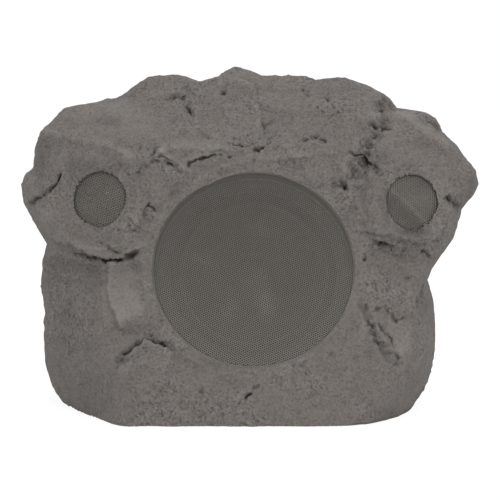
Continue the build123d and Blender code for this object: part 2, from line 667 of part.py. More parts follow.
with BuildPart() as base_screws:
    with BuildSketch(Plane.XY.offset(BASE_SCREW_RECESS - BASE_SCREW_HEAD)):
        with Locations(*BASE_SCREWS):
            Circle(BASE_SCREW_HEAD_RADIUS)
            RegularPolygon(BASE_SCREW_RADIUS, 6, mode=Mode.SUBTRACT)
    extrude(amount=BASE_SCREW_HEAD)
    with BuildSketch(Plane.XY.offset(BASE_SCREW_RECESS - BASE_SCREW_HEAD / 2)):
        with Locations(*BASE_SCREWS):
            Circle(BASE_SCREW_RADIUS)
    extrude(amount=BASE_SCREW_HEAD / 2 + BASE_SCREW_LENGTH)
base_screws.part.label = "base_screws"
export_step(base_screws.part, "parts/base_screws.step")

with BuildPart() as gland_body:
    with BuildSketch(GLAND):
        RegularPolygon(GLAND_FLANGE_RADIUS, 6)
    extrude(amount=GLAND_FLANGE)
    with BuildSketch(GLAND.offset(-GLAND_WALL - GLAND_NUT_HEIGHT)):
        Circle(GLAND_THREAD_RADIUS)
    extrude(amount=GLAND_WALL + GLAND_NUT_HEIGHT + GLAND_FLANGE + GLAND_NECK)
    with BuildSketch(GLAND.offset(-GLAND_WALL - GLAND_NUT_HEIGHT)):
        Circle(GLAND_BORE_RADIUS)
    extrude(amount=GLAND_WALL + GLAND_NUT_HEIGHT + GLAND_FLANGE + GLAND_NECK, mode=Mode.SUBTRACT)
gland_body.part.label = "gland_body"
export_step(gland_body.part, "parts/gland_body.step")

with BuildPart() as gland_locknut:
    with BuildSketch(GLAND.offset(-GLAND_WALL)):
        RegularPolygon(GLAND_NUT_RADIUS, 6)
        Circle(GLAND_THREAD_RADIUS + FIT, mode=Mode.SUBTRACT)
    extrude(amount=-GLAND_NUT_HEIGHT)
gland_locknut.part.label = "gland_locknut"
export_step(gland_locknut.part, "parts/gland_locknut.step")

with BuildPart() as gland_seal:
    with BuildSketch(GLAND.offset(GLAND_FLANGE)):
        Circle(GLAND_BORE_RADIUS - FIT)
        Circle(CABLE_RADIUS, mode=Mode.SUBTRACT)
    extrude(amount=GLAND_NECK)
gland_seal.part.label = "gland_seal"
export_step(gland_seal.part, "parts/gland_seal.step")

with BuildPart() as gland_cap_nut:
    with BuildSketch(section_of(GLAND)):
        with BuildLine():
            low = GLAND_FLANGE + FIT
            shoulder = GLAND_FLANGE + GLAND_NECK + FIT
            top = shoulder + GLAND_CAP_END
            Polyline(
                (GLAND_THREAD_RADIUS + FIT, low),
                (GLAND_CAP_RADIUS, low),
                (GLAND_CAP_RADIUS, shoulder - GLAND_CAP_END),
                (GLAND_BORE_RADIUS + 1, top),
                (CABLE_RADIUS + 5 * FIT, top),
                (CABLE_RADIUS + 5 * FIT, shoulder),
                (GLAND_THREAD_RADIUS + FIT, shoulder),
                close=True,
            )
        make_face()
    revolve(axis=axis_of(GLAND))
gland_cap_nut.part.label = "gland_cap_nut"
export_step(gland_cap_nut.part, "parts/gland_cap_nut.step")

# Woofer, from the gasket up

with BuildPart() as woofer_gasket:
    with BuildSketch(WOOFER_LEDGE):
        Circle(FRAME_RADIUS)
        Circle(CUTOUT_RADIUS, mode=Mode.SUBTRACT)
        with PolarLocations(SCREW_CIRCLE, WOOFER_SCREWS):
            Circle(WOOFER_SCREW_RADIUS + FIT, mode=Mode.SUBTRACT)
    extrude(amount=GASKET)
woofer_gasket.part.label = "woofer_gasket"
export_step(woofer_gasket.part, "parts/woofer_gasket.step")

with BuildPart() as woofer_basket:
    with BuildSketch(section_of(WOOFER)):
        with BuildLine():
            Polyline(
                (FRAME_RADIUS, FRAME_SHEET / 2),
                (BASKET_RADIUS, FRAME_SHEET / 2),
                (BASKET_RADIUS - 1, -BASKET_RIM_DEPTH),
                (SPIDER_SHELF_RADIUS, -SPIDER_SHELF_DEPTH - FRAME_SHEET / 2),
                (BASKET_FOOT_RADIUS, -SPIDER_SHELF_DEPTH - FRAME_SHEET / 2),
                (BASKET_FOOT_RADIUS, -BASKET_DEPTH - FRAME_SHEET / 2),
                (MAGNET_HOLE_RADIUS, -BASKET_DEPTH - FRAME_SHEET / 2),
            )
        trace(line_width=FRAME_SHEET)
    revolve(axis=axis_of(WOOFER))
    with BuildSketch(WOOFER.offset(FRAME_SHEET - SPIDER_SHELF_DEPTH)):
        with PolarLocations((BASKET_RADIUS + SPIDER_SHELF_RADIUS) / 2, BASKET_ARMS):
            Rectangle(BASKET_RADIUS - SPIDER_SHELF_RADIUS, BASKET_WINDOW_WIDTH)
    extrude(amount=SPIDER_SHELF_DEPTH - BASKET_RIM_DEPTH - 3 * FRAME_SHEET, mode=Mode.SUBTRACT)
    with BuildSketch(WOOFER):
        with PolarLocations(SCREW_CIRCLE, WOOFER_SCREWS):
            Circle(WOOFER_SCREW_RADIUS + 3 * FIT)
    extrude(amount=FRAME_SHEET, mode=Mode.SUBTRACT)
woofer_basket.part.label = "woofer_basket"
export_step(woofer_basket.part, "parts/woofer_basket.step")

with BuildPart() as woofer_surround:
    with BuildSketch(section_of(WOOFER)):
        with BuildLine():
            height = FRAME_SHEET + SURROUND_SHEET / 2
            Polyline(
                (CONE_RADIUS - CONE_LIP, height),
                *half_roll(CONE_RADIUS, SURROUND_OUTER_RADIUS, height),
                (SURROUND_OUTER_RADIUS + SURROUND_LIP, height),
            )
        trace(line_width=SURROUND_SHEET)
    revolve(axis=axis_of(WOOFER))
woofer_surround.part.label = "woofer_surround"
export_step(woofer_surround.part, "parts/woofer_surround.step")

with BuildPart() as woofer_cone:
    with BuildSketch(section_of(WOOFER)):
        with BuildLine():
            Polyline(
                (CONE_RADIUS, CONE_TOP),
                (CONE_RADIUS - CONE_LIP - 1, CONE_TOP),
                (CONE_NECK_RADIUS, CONE_TOP - CONE_DEPTH),
            )
        trace(line_width=CONE_SHEET)
    revolve(axis=axis_of(WOOFER))
woofer_cone.part.label = "woofer_cone"
export_step(woofer_cone.part, "parts/woofer_cone.step")

with BuildPart() as woofer_dust_cap:
    with BuildSketch(section_of(WOOFER)):
        add(cap_section(DUST_CAP_RADIUS, DUST_CAP_RISE, DUST_CAP_SHEET, DUST_CAP_BASE))
    revolve(axis=axis_of(WOOFER))
woofer_dust_cap.part.label = "woofer_dust_cap"
export_step(woofer_dust_cap.part, "parts/woofer_dust_cap.step")

with BuildPart() as voice_coil_former:
    with BuildSketch(WOOFER.offset(FORMER_BOTTOM)):
        Circle(COIL_RADIUS + FORMER_SHEET)
        Circle(COIL_RADIUS, mode=Mode.SUBTRACT)
    extrude(amount=FORMER_TOP - FORMER_BOTTOM)
voice_coil_former.part.label = "voice_coil_former"
export_step(voice_coil_former.part, "parts/voice_coil_former.step")

with BuildPart() as voice_coil_winding:
    with BuildSketch(WOOFER.offset(WINDING_BOTTOM)):
        Circle(WINDING_RADIUS)
        Circle(COIL_RADIUS + FORMER_SHEET, mode=Mode.SUBTRACT)
    extrude(amount=WINDING_HEIGHT)
voice_coil_winding.part.label = "voice_coil_winding"
export_step(voice_coil_winding.part, "parts/voice_coil_winding.step")

with BuildPart() as woofer_spider:
    with BuildSketch(section_of(WOOFER)):
        with BuildLine():
            height = SPIDER_SHEET / 2 - SPIDER_SHELF_DEPTH
            half_wave = (SPIDER_WAVES_END - SPIDER_WAVES_START) / SPIDER_WAVES / 2
            peaks = [
                (SPIDER_WAVES_START + (i + 0.5) * half_wave, height + SPIDER_WAVE_HEIGHT * (-1) ** i)
                for i in range(2 * SPIDER_WAVES)
            ]
            Polyline(
                (CONE_NECK_RADIUS, height),
                (SPIDER_WAVES_START, height),
                *peaks,
                (SPIDER_WAVES_END, height),
                (SPIDER_SHELF_RADIUS - FRAME_SHEET, height),
            )
        trace(line_width=SPIDER_SHEET)
    revolve(axis=axis_of(WOOFER))
woofer_spider.part.label = "woofer_spider"
export_step(woofer_spider.part, "parts/woofer_spider.step")

with BuildPart() as woofer_top_plate:
    with BuildSketch(WOOFER.offset(TOP_PLATE_TOP)):
        Circle(TOP_PLATE_RADIUS)
        Circle(WINDING_RADIUS + COIL_GAP, mode=Mode.SUBTRACT)
    extrude(amount=-TOP_PLATE_THICKNESS)
woofer_top_plate.part.label = "woofer_top_plate"
export_step(woofer_top_plate.part, "parts/woofer_top_plate.step")

with BuildPart() as woofer_magnet:
    with BuildSketch(WOOFER.offset(TOP_PLATE_TOP - TOP_PLATE_THICKNESS)):
        Circle(MAGNET_RADIUS)
        Circle(MAGNET_HOLE_RADIUS, mode=Mode.SUBTRACT)
    extrude(amount=-MAGNET_THICKNESS)
woofer_magnet.part.label = "woofer_magnet"
export_step(woofer_magnet.part, "parts/woofer_magnet.step")

with BuildPart() as woofer_yoke:
    with BuildSketch(WOOFER.offset(YOKE_TOP)):
        Circle(TOP_PLATE_RADIUS)
    extrude(amount=-BACK_PLATE_THICKNESS)
    with BuildSketch(WOOFER.offset(YOKE_TOP)):
        Circle(COIL_RADIUS - COIL_GAP)
    extrude(amount=MAGNET_THICKNESS + TOP_PLATE_THICKNESS)
    with BuildSketch(WOOFER.offset(YOKE_TOP - BACK_PLATE_THICKNESS)):
        Circle(POLE_VENT_RADIUS)
    extrude(amount=BACK_PLATE_THICKNESS + MAGNET_THICKNESS + TOP_PLATE_THICKNESS, mode=Mode.SUBTRACT)
woofer_yoke.part.label = "woofer_yoke"
export_step(woofer_yoke.part, "parts/woofer_yoke.step")

with BuildPart() as woofer_terminals:
    with BuildSketch(TERMINALS):
        with Locations((0, -TERMINAL_RADIUS)):
            Rectangle(TERMINAL_STRIP_WIDTH, TERMINAL_STRIP_DEPTH)
    extrude(amount=-FRAME_SHEET)
    with BuildSketch(TERMINALS.offset(-FRAME_SHEET)):
        tab_x = TERMINAL_STRIP_WIDTH / 4
        with Locations((-tab_x, -TERMINAL_RADIUS), (tab_x, -TERMINAL_RADIUS)):
            Rectangle(TERMINAL_TAB_WIDTH, TERMINAL_TAB_SHEET)
    extrude(amount=-TERMINAL_TAB_LENGTH)
woofer_terminals.part.label = "woofer_terminals"
export_step(woofer_terminals.part, "parts/woofer_terminals.step")

with BuildPart() as woofer_screws:
    with BuildSketch(WOOFER.offset(FRAME_SHEET)):
        with PolarLocations(SCREW_CIRCLE, WOOFER_SCREWS):
            Circle(WOOFER_SCREW_HEAD_RADIUS)
    extrude(amount=WOOFER_SCREW_HEAD)
    with BuildSketch(WOOFER.offset(FRAME_SHEET)):
        with PolarLocations(SCREW_CIRCLE, WOOFER_SCREWS):
            Circle(WOOFER_SCREW_RADIUS)
    extrude(amount=-WOOFER_SCREW_LENGTH)
    with BuildSketch(WOOFER.offset(FRAME_SHEET + WOOFER_SCREW_HEAD)):
        with PolarLocations(SCREW_CIRCLE, WOOFER_SCREWS):
            RegularPolygon(WOOFER_SCREW_RADIUS, 6)
    extrude(amount=-WOOFER_SCREW_HEAD / 2, mode=Mode.SUBTRACT)
woofer_screws.part.label = "woofer_screws"
export_step(woofer_screws.part, "parts/woofer_screws.step")

with BuildPart() as woofer_grille:
    with BuildSketch(section_of(BAFFLE)):
        add(grille_section(GRILLE_RADIUS, GRILLE_SHEET, GRILLE_CROWN, GRILLE_SINK, GRILLE_SKIRT))
    revolve(axis=axis_of(BAFFLE))
    with BuildSketch(BAFFLE.offset(-GRILLE_SEAT_DEPTH)):
        with Locations(*hex_grid(GRILLE_PITCH, GRILLE_RADIUS - GRILLE_EDGE)):
            RegularPolygon(GRILLE_HOLE, 6)
    extrude(amount=GRILLE_SEAT_DEPTH + GRILLE_CROWN, mode=Mode.SUBTRACT)
woofer_grille.part.label = "woofer_grille"
export_step(woofer_grille.part, "parts/woofer_grille.step")

# Tweeters, from the gasket up

for side, pad in TWEETERS.items():
    ledge = pad.offset(-TWEETER_SINK)
    seat = ledge.offset(TWEETER_GASKET)

    with BuildPart() as tweeter_gasket:
        with BuildSketch(ledge):
            Circle(TWEETER_PLATE_RADIUS)
            Circle(TWEETER_CUTOUT_RADIUS, mode=Mode.SUBTRACT)
            with PolarLocations(TWEETER_SCREW_CIRCLE, TWEETER_SCREWS, start_angle=90):
                Circle(TWEETER_SCREW_RADIUS + FIT, mode=Mode.SUBTRACT)
        extrude(amount=TWEETER_GASKET)
    tweeter_gasket.part.label = f"tweeter_{side}_gasket"
    export_step(tweeter_gasket.part, f"parts/tweeter_{side}_gasket.step")

    with BuildPart() as tweeter_faceplate:
        with BuildSketch(section_of(seat)):
            with BuildLine():
                Polyline(
                    (DOME_OUTER_RADIUS, 0),
                    (TWEETER_PLATE_RADIUS, 0),
                    (TWEETER_PLATE_RADIUS, TWEETER_PLATE_THICKNESS),
                    (DOME_OUTER_RADIUS + TWEETER_PLATE_THICKNESS, TWEETER_PLATE_THICKNESS),
                    (DOME_OUTER_RADIUS, TWEETER_PLATE_THICKNESS / 2),
                    close=True,
                )
            make_face()
        revolve(axis=axis_of(seat))
        with BuildSketch(seat):
            with PolarLocations(TWEETER_SCREW_CIRCLE, TWEETER_SCREWS, start_angle=90):
                Circle(TWEETER_SCREW_RADIUS + 2 * FIT)
        extrude(amount=TWEETER_PLATE_THICKNESS, mode=Mode.SUBTRACT)
    tweeter_faceplate.part.label = f"tweeter_{side}_faceplate"
    export_step(tweeter_faceplate.part, f"parts/tweeter_{side}_faceplate.step")

    # the dome, its roll and its flat edge are one formed film; the coil hangs under it
    with BuildPart() as tweeter_dome:
        with BuildSketch(section_of(seat)):
            add(cap_section(DOME_RADIUS, DOME_RISE, DOME_SHEET, DOME_SHEET / 2))
        revolve(axis=axis_of(seat))
        with BuildSketch(section_of(seat)):
            with BuildLine():
                height = DOME_SHEET / 2
                roll_end = DOME_RADIUS + DOME_ROLL_WIDTH
                Polyline(
                    *half_roll(DOME_RADIUS - DOME_SHEET, roll_end, height),
                    (DOME_OUTER_RADIUS - FIT, height),
                )
            trace(line_width=DOME_SHEET)
        revolve(axis=axis_of(seat))
        with BuildSketch(seat.offset(DOME_SHEET / 2)):
            Circle(DOME_RADIUS)
            Circle(DOME_RADIUS - DOME_SHEET, mode=Mode.SUBTRACT)
        extrude(amount=-DOME_COIL_HEIGHT)
    tweeter_dome.part.label = f"tweeter_{side}_dome"
    export_step(tweeter_dome.part, f"parts/tweeter_{side}_dome.step")

    with BuildPart() as tweeter_top_plate:
        with BuildSketch(seat):
            Circle(TWEETER_MAGNET_RADIUS)
            Circle(DOME_RADIUS + COIL_GAP, mode=Mode.SUBTRACT)
        extrude(amount=-TWEETER_TOP_PLATE)
    tweeter_top_plate.part.label = f"tweeter_{side}_top_plate"
    export_step(tweeter_top_plate.part, f"parts/tweeter_{side}_top_plate.step")

    with BuildPart() as tweeter_magnet:
        with BuildSketch(seat.offset(-TWEETER_TOP_PLATE)):
            Circle(TWEETER_MAGNET_RADIUS)
            Circle(DOME_RADIUS + 2 * COIL_GAP, mode=Mode.SUBTRACT)
        extrude(amount=-TWEETER_MAGNET_THICKNESS)
    tweeter_magnet.part.label = f"tweeter_{side}_magnet"
    export_step(tweeter_magnet.part, f"parts/tweeter_{side}_magnet.step")

    with BuildPart() as tweeter_yoke:
        with BuildSketch(seat.offset(-TWEETER_TOP_PLATE - TWEETER_MAGNET_THICKNESS)):
            Circle(TWEETER_MAGNET_RADIUS)
        extrude(amount=-TWEETER_BACK_PLATE)
        with BuildSketch(seat.offset(-TWEETER_TOP_PLATE - TWEETER_MAGNET_THICKNESS)):
            Circle(DOME_RADIUS - DOME_SHEET - COIL_GAP)
        extrude(amount=TWEETER_MAGNET_THICKNESS + TWEETER_TOP_PLATE)
    tweeter_yoke.part.label = f"tweeter_{side}_yoke"
    export_step(tweeter_yoke.part, f"parts/tweeter_{side}_yoke.step")

    with BuildPart() as tweeter_screws:
        with BuildSketch(seat.offset(TWEETER_PLATE_THICKNESS)):
            with PolarLocations(TWEETER_SCREW_CIRCLE, TWEETER_SCREWS, start_angle=90):
                Circle(TWEETER_SCREW_HEAD_RADIUS)
        extrude(amount=TWEETER_SCREW_HEAD)
        with BuildSketch(seat.offset(TWEETER_PLATE_THICKNESS)):
            with PolarLocations(TWEETER_SCREW_CIRCLE, TWEETER_SCREWS, start_angle=90):
                Circle(TWEETER_SCREW_RADIUS)
        extrude(amount=-TWEETER_SCREW_LENGTH)
    tweeter_screws.part.label = f"tweeter_{side}_screws"
    export_step(tweeter_screws.part, f"parts/tweeter_{side}_screws.step")

    with BuildPart() as tweeter_grille:
        with BuildSketch(section_of(pad)):
            add(
                grille_section(
                    TWEETER_GRILLE_RADIUS,
                    TWEETER_GRILLE_SHEET,
                    TWEETER_GRILLE_CROWN,
                    TWEETER_GRILLE_SINK,
                    TWEETER_GRILLE_SKIRT,
                )
            )
        revolve(axis=axis_of(pad))
        with BuildSketch(pad.offset(-TWEETER_SEAT_DEPTH)):
            with Locations(*hex_grid(TWEETER_GRILLE_PITCH, TWEETER_GRILLE_RADIUS - TWEETER_GRILLE_EDGE)):
                RegularPolygon(TWEETER_GRILLE_HOLE, 6)
        extrude(amount=TWEETER_SEAT_DEPTH + TWEETER_GRILLE_CROWN, mode=Mode.SUBTRACT)
    tweeter_grille.part.label = f"tweeter_{side}_grille"
    export_step(tweeter_grille.part, f"parts/tweeter_{side}_grille.step")

# Crossover

with BuildPart() as crossover_board:
    with BuildSketch(Plane.XY.offset(BOARD_Z)):
        with Locations(BOARD_CENTRE):
            Rectangle(BOARD_WIDTH, BOARD_DEPTH)
        with Locations(*BOARD_SCREWS):
            Circle(BOARD_SCREW_RADIUS + 2 * FIT, mode=Mode.SUBTRACT)
    extrude(amount=BOARD_THICKNESS)
crossover_board.part.label = "crossover_board"
export_step(crossover_board.part, "parts/crossover_board.step")

with BuildPart() as board_screws:
    with BuildSketch(Plane.XY.offset(BOARD_TOP)):
        with Locations(*BOARD_SCREWS):
            Circle(2 * BOARD_SCREW_RADIUS)
    extrude(amount=BOARD_SCREW_RADIUS)
    with BuildSketch(Plane.XY.offset(BOARD_TOP)):
        with Locations(*BOARD_SCREWS):
            Circle(BOARD_SCREW_RADIUS)
    extrude(amount=-BOARD_THICKNESS - STANDOFF_HEIGHT / 2)
board_screws.part.label = "board_screws"
export_step(board_screws.part, "parts/board_screws.step")

for side, sign in {"left": -1, "right": 1}.items():
    with BuildPart() as inductor:
        with BuildSketch(section_of(Plane(origin=board_point(0.3 * sign, 0.18)))):
            with BuildLine():
                Polyline(
                    (COIL_BORE_RADIUS, 0),
                    (COIL_OUTER_RADIUS, 0),
                    (COIL_OUTER_RADIUS, COIL_CHEEK),
                    (COIL_OUTER_RADIUS - COIL_CHEEK, COIL_CHEEK),
                    (COIL_OUTER_RADIUS - COIL_CHEEK, COIL_HEIGHT - COIL_CHEEK),
                    (COIL_OUTER_RADIUS, COIL_HEIGHT - COIL_CHEEK),
                    (COIL_OUTER_RADIUS, COIL_HEIGHT),
                    (COIL_BORE_RADIUS, COIL_HEIGHT),
                    close=True,
                )
            make_face()
        revolve(axis=Axis(board_point(0.3 * sign, 0.18), (0, 0, 1)))
    inductor.part.label = f"inductor_{side}"
    export_step(inductor.part, f"parts/inductor_{side}.step")

    with BuildPart() as capacitor:
        middle = board_point(0.25 * sign, -0.2) + Vector(0, 0, CAPACITOR_RADIUS)
        with BuildSketch(Plane(origin=middle, x_dir=(0, 1, 0), z_dir=(1, 0, 0))):
            Circle(CAPACITOR_RADIUS)
        extrude(amount=CAPACITOR_LENGTH / 2, both=True)
        chamfer(capacitor.edges().filter_by(GeomType.CIRCLE), CAPACITOR_RADIUS / 9)
    capacitor.part.label = f"capacitor_{side}"
    export_step(capacitor.part, f"parts/capacitor_{side}.step")

    with BuildPart() as resistor:
        with BuildSketch(Plane(origin=board_point(0, 0.17 + 0.12 * sign))):
            Rectangle(RESISTOR_SIZE[0], RESISTOR_SIZE[1])
        extrude(amount=RESISTOR_SIZE[2])
    resistor.part.label = f"resistor_{side}"
    export_step(resistor.part, f"parts/resistor_{side}.step")

with BuildPart() as terminal_block:
    with BuildSketch(Plane(origin=board_point(0, -0.39))):
        Rectangle(TERMINAL_BLOCK_SIZE[0], TERMINAL_BLOCK_SIZE[1])
    extrude(amount=TERMINAL_BLOCK_SIZE[2])
    with BuildSketch(Plane(origin=board_point(0, -0.39)).offset(TERMINAL_BLOCK_SIZE[2])):
        with GridLocations(TERMINAL_PITCH, TERMINAL_PITCH, 8, 1):
            Circle(TERMINAL_PITCH / 3)
    extrude(amount=-TERMINAL_PITCH / 3, mode=Mode.SUBTRACT)
terminal_block.part.label = "terminal_block"
export_step(terminal_block.part, "parts/terminal_block.step")

# Leads from the terminal block to the three drivers

block_top = board_point(0, -0.39) + Vector(0, 0, TERMINAL_BLOCK_SIZE[2])


def terminal(number):
    """Top of a terminal of the block, counted from the left."""
    return block_top + Vector((number - 3.5) * TERMINAL_PITCH, 0, 0)


tab_foot = TERMINALS.offset(-FRAME_SHEET - TERMINAL_TAB_LENGTH)
tab_end = tab_foot.from_local_coords((0, -TERMINAL_RADIUS, -LEAD_RADIUS))

with BuildPart() as woofer_lead:
    with BuildLine() as path:
        FilletPolyline(
            terminal(3) - Vector(0, 0, TERMINAL_PITCH / 3),
            terminal(3) + Vector(0, 0, 20),
            tab_end + Vector(0, 25, -20),
            tab_end,
            radius=8,
        )
    with BuildSketch(Plane(origin=path.line @ 0, z_dir=path.line % 0)):
        Circle(LEAD_RADIUS)
    sweep()
woofer_lead.part.label = "woofer_lead"
export_step(woofer_lead.part, "parts/woofer_lead.step")

for side, pad in TWEETERS.items():
    sign = -1 if side == "left" else 1
    start = terminal(0 if side == "left" else 7)
    back = TWEETER_SINK - TWEETER_GASKET + TWEETER_TOP_PLATE + TWEETER_MAGNET_THICKNESS + TWEETER_BACK_PLATE
    end = pad.from_local_coords((0, 0, -back))
    with BuildPart() as tweeter_lead:
        with BuildLine() as path:
            FilletPolyline(
                start - Vector(0, 0, TERMINAL_PITCH / 3),
                start + Vector(0, 0, 25),
                Vector(end.X - sign * 15, end.Y + 70, end.Z - 80),
                pad.from_local_coords((0, 0, -back - 30)),
                end,
                radius=10,
            )
        with BuildSketch(Plane(origin=path.line @ 0, z_dir=path.line % 0)):
            Circle(LEAD_RADIUS)
        sweep()
    tweeter_lead.part.label = f"tweeter_{side}_lead"
    export_step(tweeter_lead.part, f"parts/tweeter_{side}_lead.step")
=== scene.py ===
"""Garden loudspeaker cast as a weathered rock: its stone skin, three perforated grilles and finishes."""

import json
import math

import bmesh
import bpy
import numpy as np
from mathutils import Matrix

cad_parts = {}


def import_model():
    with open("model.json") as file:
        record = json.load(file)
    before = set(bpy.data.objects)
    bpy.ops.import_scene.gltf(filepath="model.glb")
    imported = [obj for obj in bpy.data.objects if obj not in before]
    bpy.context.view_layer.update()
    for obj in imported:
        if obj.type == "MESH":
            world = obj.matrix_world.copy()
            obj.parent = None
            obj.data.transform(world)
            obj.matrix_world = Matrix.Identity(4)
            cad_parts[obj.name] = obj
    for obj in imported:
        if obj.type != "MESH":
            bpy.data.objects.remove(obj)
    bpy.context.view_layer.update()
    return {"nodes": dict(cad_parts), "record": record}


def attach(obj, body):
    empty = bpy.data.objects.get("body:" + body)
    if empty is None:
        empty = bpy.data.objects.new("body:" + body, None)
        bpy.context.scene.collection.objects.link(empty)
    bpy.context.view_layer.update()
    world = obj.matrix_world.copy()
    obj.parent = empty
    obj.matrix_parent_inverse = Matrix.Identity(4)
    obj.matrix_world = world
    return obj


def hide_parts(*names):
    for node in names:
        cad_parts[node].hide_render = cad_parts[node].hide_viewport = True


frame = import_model()

MM = 0.001  # everything below is in millimetres, and goes into the meshes in metres

# Rock form: the same driving values as the solid model

ROCK_WIDTH = 499
ROCK_HEIGHT = 363
ROCK_DEPTH = 352
BAFFLE_HEIGHT = 158.5
BAFFLE_LEAN = math.radians(24)
WEATHERING = 2.5
LAND_RADIUS = 119
LAND_BLEND = 22
LAND_STEP = 1.6  # fall of the rock just outside the land
BACK_RADIUS = 55
BACK_FLAT_SHARE = 0.1
BACK_ROUNDNESS = 2.3
LEAN_SLOPE = math.tan(BAFFLE_LEAN)
BAFFLE_Y = BAFFLE_HEIGHT * LEAN_SLOPE - ROCK_DEPTH / 2
BACK_Y = ROCK_DEPTH / 2

# The widest outline seen from the front, (x, z) from the right-hand tip over the crown
OUTLINE = np.array([
    (246, 238), (243, 254), (234, 266), (222, 281), (207, 294), (200, 310), (181, 316), (160, 317),
    (150, 329), (137, 337), (101, 351), (69, 347), (55, 352), (32, 352), (10, 352), (-21, 363),
    (-39, 351), (-61, 344), (-79, 352), (-117, 352), (-139, 336), (-155, 328), (-180, 324), (-208, 320),
    (-215, 312), (-234, 294), (-239, 275), (-240, 256), (-249, 249), (-253, 238), (-251, 217),
    (-238, 194), (-226, 174), (-232, 152), (-233, 125), (-228, 95), (-231, 70), (-230, 42), (-222, 14),
    (-202, -12), (-162, -30), (-130, -34), (-100, -36), (-66, -37), (-33, -38), (0, -38), (33, -38),
    (66, -37), (100, -36), (140, -28), (171, -10), (188, 17), (198, 53), (200, 86), (196, 118),
    (189, 138), (196, 151), (206, 165), (219, 180), (224, 197), (228, 214), (243, 230),
], dtype=float)

# By direction from the front (0 is +X, 90 is up): share that stays flat, roundness of the fall, rim depth
FLAT_SHARE = {
    0: 0.5, 25: 0.6, 60: 0.2, 90: 0.06, 125: 0.18, 155: 0.58, 185: 0.3, 215: 0.3, 222: 0.4, 232: 0.78,
    270: 0.8, 308: 0.55, 325: 0.42,
}
ROUNDNESS = {
    0: 2.0, 25: 2.2, 60: 1.35, 90: 1.2, 125: 1.3, 155: 2.2, 185: 1.6, 215: 1.6, 222: 1.9, 232: 2.4,
    325: 2.0,
}
OUTLINE_DEPTH = {
    0: -5, 20: -10, 45: 15, 70: 45, 115: 45, 135: 20, 163: -10, 185: 0, 225: -10, 270: -20, 315: -10,
}

# Lumps (+) and hollows (-) of the front: x, z, half width, half height, rise
LUMPS = [
    (-172, 223, 62, 46, 12), (180, 223, 56, 48, 12), (-152, 162, 46, 15, -17), (162, 162, 40, 15, -14),
    (-71, 290, 62, 14, 10), (42, 286, 56, 13, 9), (-119, 50, 46, 34, 12), (-129, 89, 30, 10, -9),
    (-136, 125, 24, 34, 8), (145, 89, 10, 34, -8), (178, 69, 24, 40, 8), (-207, 217, 22, 8, -9),
    (119, 264, 16, 12, -10), (113, 318, 44, 14, 12), (-152, 294, 50, 20, 8), (-18, 318, 26, 26, 12),
    (-184, 190, 36, 12, 5), (-83, 281, 34, 11, 3), (-167, 279, 44, 12, 3), (170, 305, 30, 12, 3),
    (162, 189, 34, 10, 3),
]

# Grilles
GRILLE_RADIUS = 108.5
GRILLE_CROWN = 4
GRILLE_SINK = 0.8
GRILLE_SKIRT = 8
GRILLE_SHEET = 1.2
POCKET_RADIUS = 109
LOWER_POCKET_RADIUS = 107
WOOFER_SINK = 18
CUTOUT_RADIUS = 92
LEDGE_THICKNESS = 14
TWEETER_PLACES = {"left": (-165.5, 230), "right": (171, 227)}
TWEETER_FORWARD = 3
TWEETER_TURN = math.radians(18)
TWEETER_LEAN = math.radians(16)
TWEETER_PAD_RADIUS = 38
TWEETER_PAD_BLEND = 22
TWEETER_GRILLE_RADIUS = 30.7
TWEETER_GRILLE_CROWN = 2
TWEETER_GRILLE_SINK = 0.6
TWEETER_GRILLE_SKIRT = 3.5
TWEETER_GRILLE_SHEET = 0.8
TWEETER_POCKET_RADIUS = 31.2
WOOFER_LIPS = [
    # rock grown over the large grille's rim: column, row and size in photograph pixels, cover in millimetres
    (207, 184, 13, 2.4), (226, 177, 12, 1.6), (188, 347, 15, 1.2), (350, 302, 14, 1.2), (258, 171, 8, 0.6),
]
WOOFER_LIP_LIFT = 0.35  # how far a lip stands out, as a share of its cover
TWEETER_RIM_COVER = 1.7  # how far the rock grows over the rim of a small grille all round
TWEETER_LIPS = {
    # more of it in places, as for the large grille
    "left": [(118, 172, 9, 0.6), (84, 221, 9, 1.8), (76, 206, 8, 1.2)],
    "right": [(436, 217, 9, 3.4), (424, 229, 8, 2.6), (438, 194, 8, 1.6)],
}
TWEETER_LIP_LIFT = 0.8
TWEETER_LIP_RUN = 12  # width of the rock round a tweeter's pocket that is drawn in
HOLE_PITCH = 2.5
TWEETER_HOLE_PITCH = 2.9
HOLE_SHARE = 0.76  # width of a hole as a share of the pitch
HOLE_TURN = math.radians(22)
PLAIN_RIM = 0.15  # width left plain within the sheet's edge, as a share of the pitch
RIM_STEPS = 180
EDGE_SHADE = 0.4  # painted shade along the upper edge of a sheet, where the rock's lip shades it, and how far it runs in
EDGE_SHADE_RUN = 2
FOLDS_AND_GLINTS = {
    # creases, painted glints and painted highlights: path and half width in photograph pixels, rise in
    # millimetres, and how much painted highlight (+) or painted shade (-) they carry
    "woofer": [
        # painted glints of the cone seen through the holes
        ([(265, 299), (267, 309)], 8, 0, 0.45),
        ([(232, 306), (227, 314)], 7, 0, 0.3),
        ([(260, 224), (263, 231)], 5, 0, 0.2),
        ([(195, 257), (208, 262)], 5, 0, 0.2),
    ],
    # a painted highlight along the fold, and a painted glint
    "left": [([(84, 208), (100, 199), (117, 190)], 9, 0.8, 0.15), ([(106, 193), (108, 193)], 1.2, 0, 1.0)],
    "right": [
        ([(386, 186), (407, 204), (430, 227)], 8, 2.4, 0.1),
        ([(386, 186), (407, 204), (430, 227)], 1.8, 0, 0.5),
        ([(407, 204), (424, 198), (442, 196)], 6, 1.2, 0.2),
        ([(402, 184), (434, 210)], 13, 0, 0.2),
        # painted shade on the lower side of the fold
        ([(394, 202), (414, 222)], 7, 0, -0.35),
    ],
}

# Base pocket and gland pocket
BASE_CENTRE = (-12, 6)
BASE_HALF = (150.5, 125.5)
BASE_CORNER = 80.5
BASE_POCKET_DEPTH = 10
GLAND_PLACE = (-12, 52)
GLAND_POCKET_RADIUS = 17
GLAND_FLOOR_Y = BACK_Y - 24

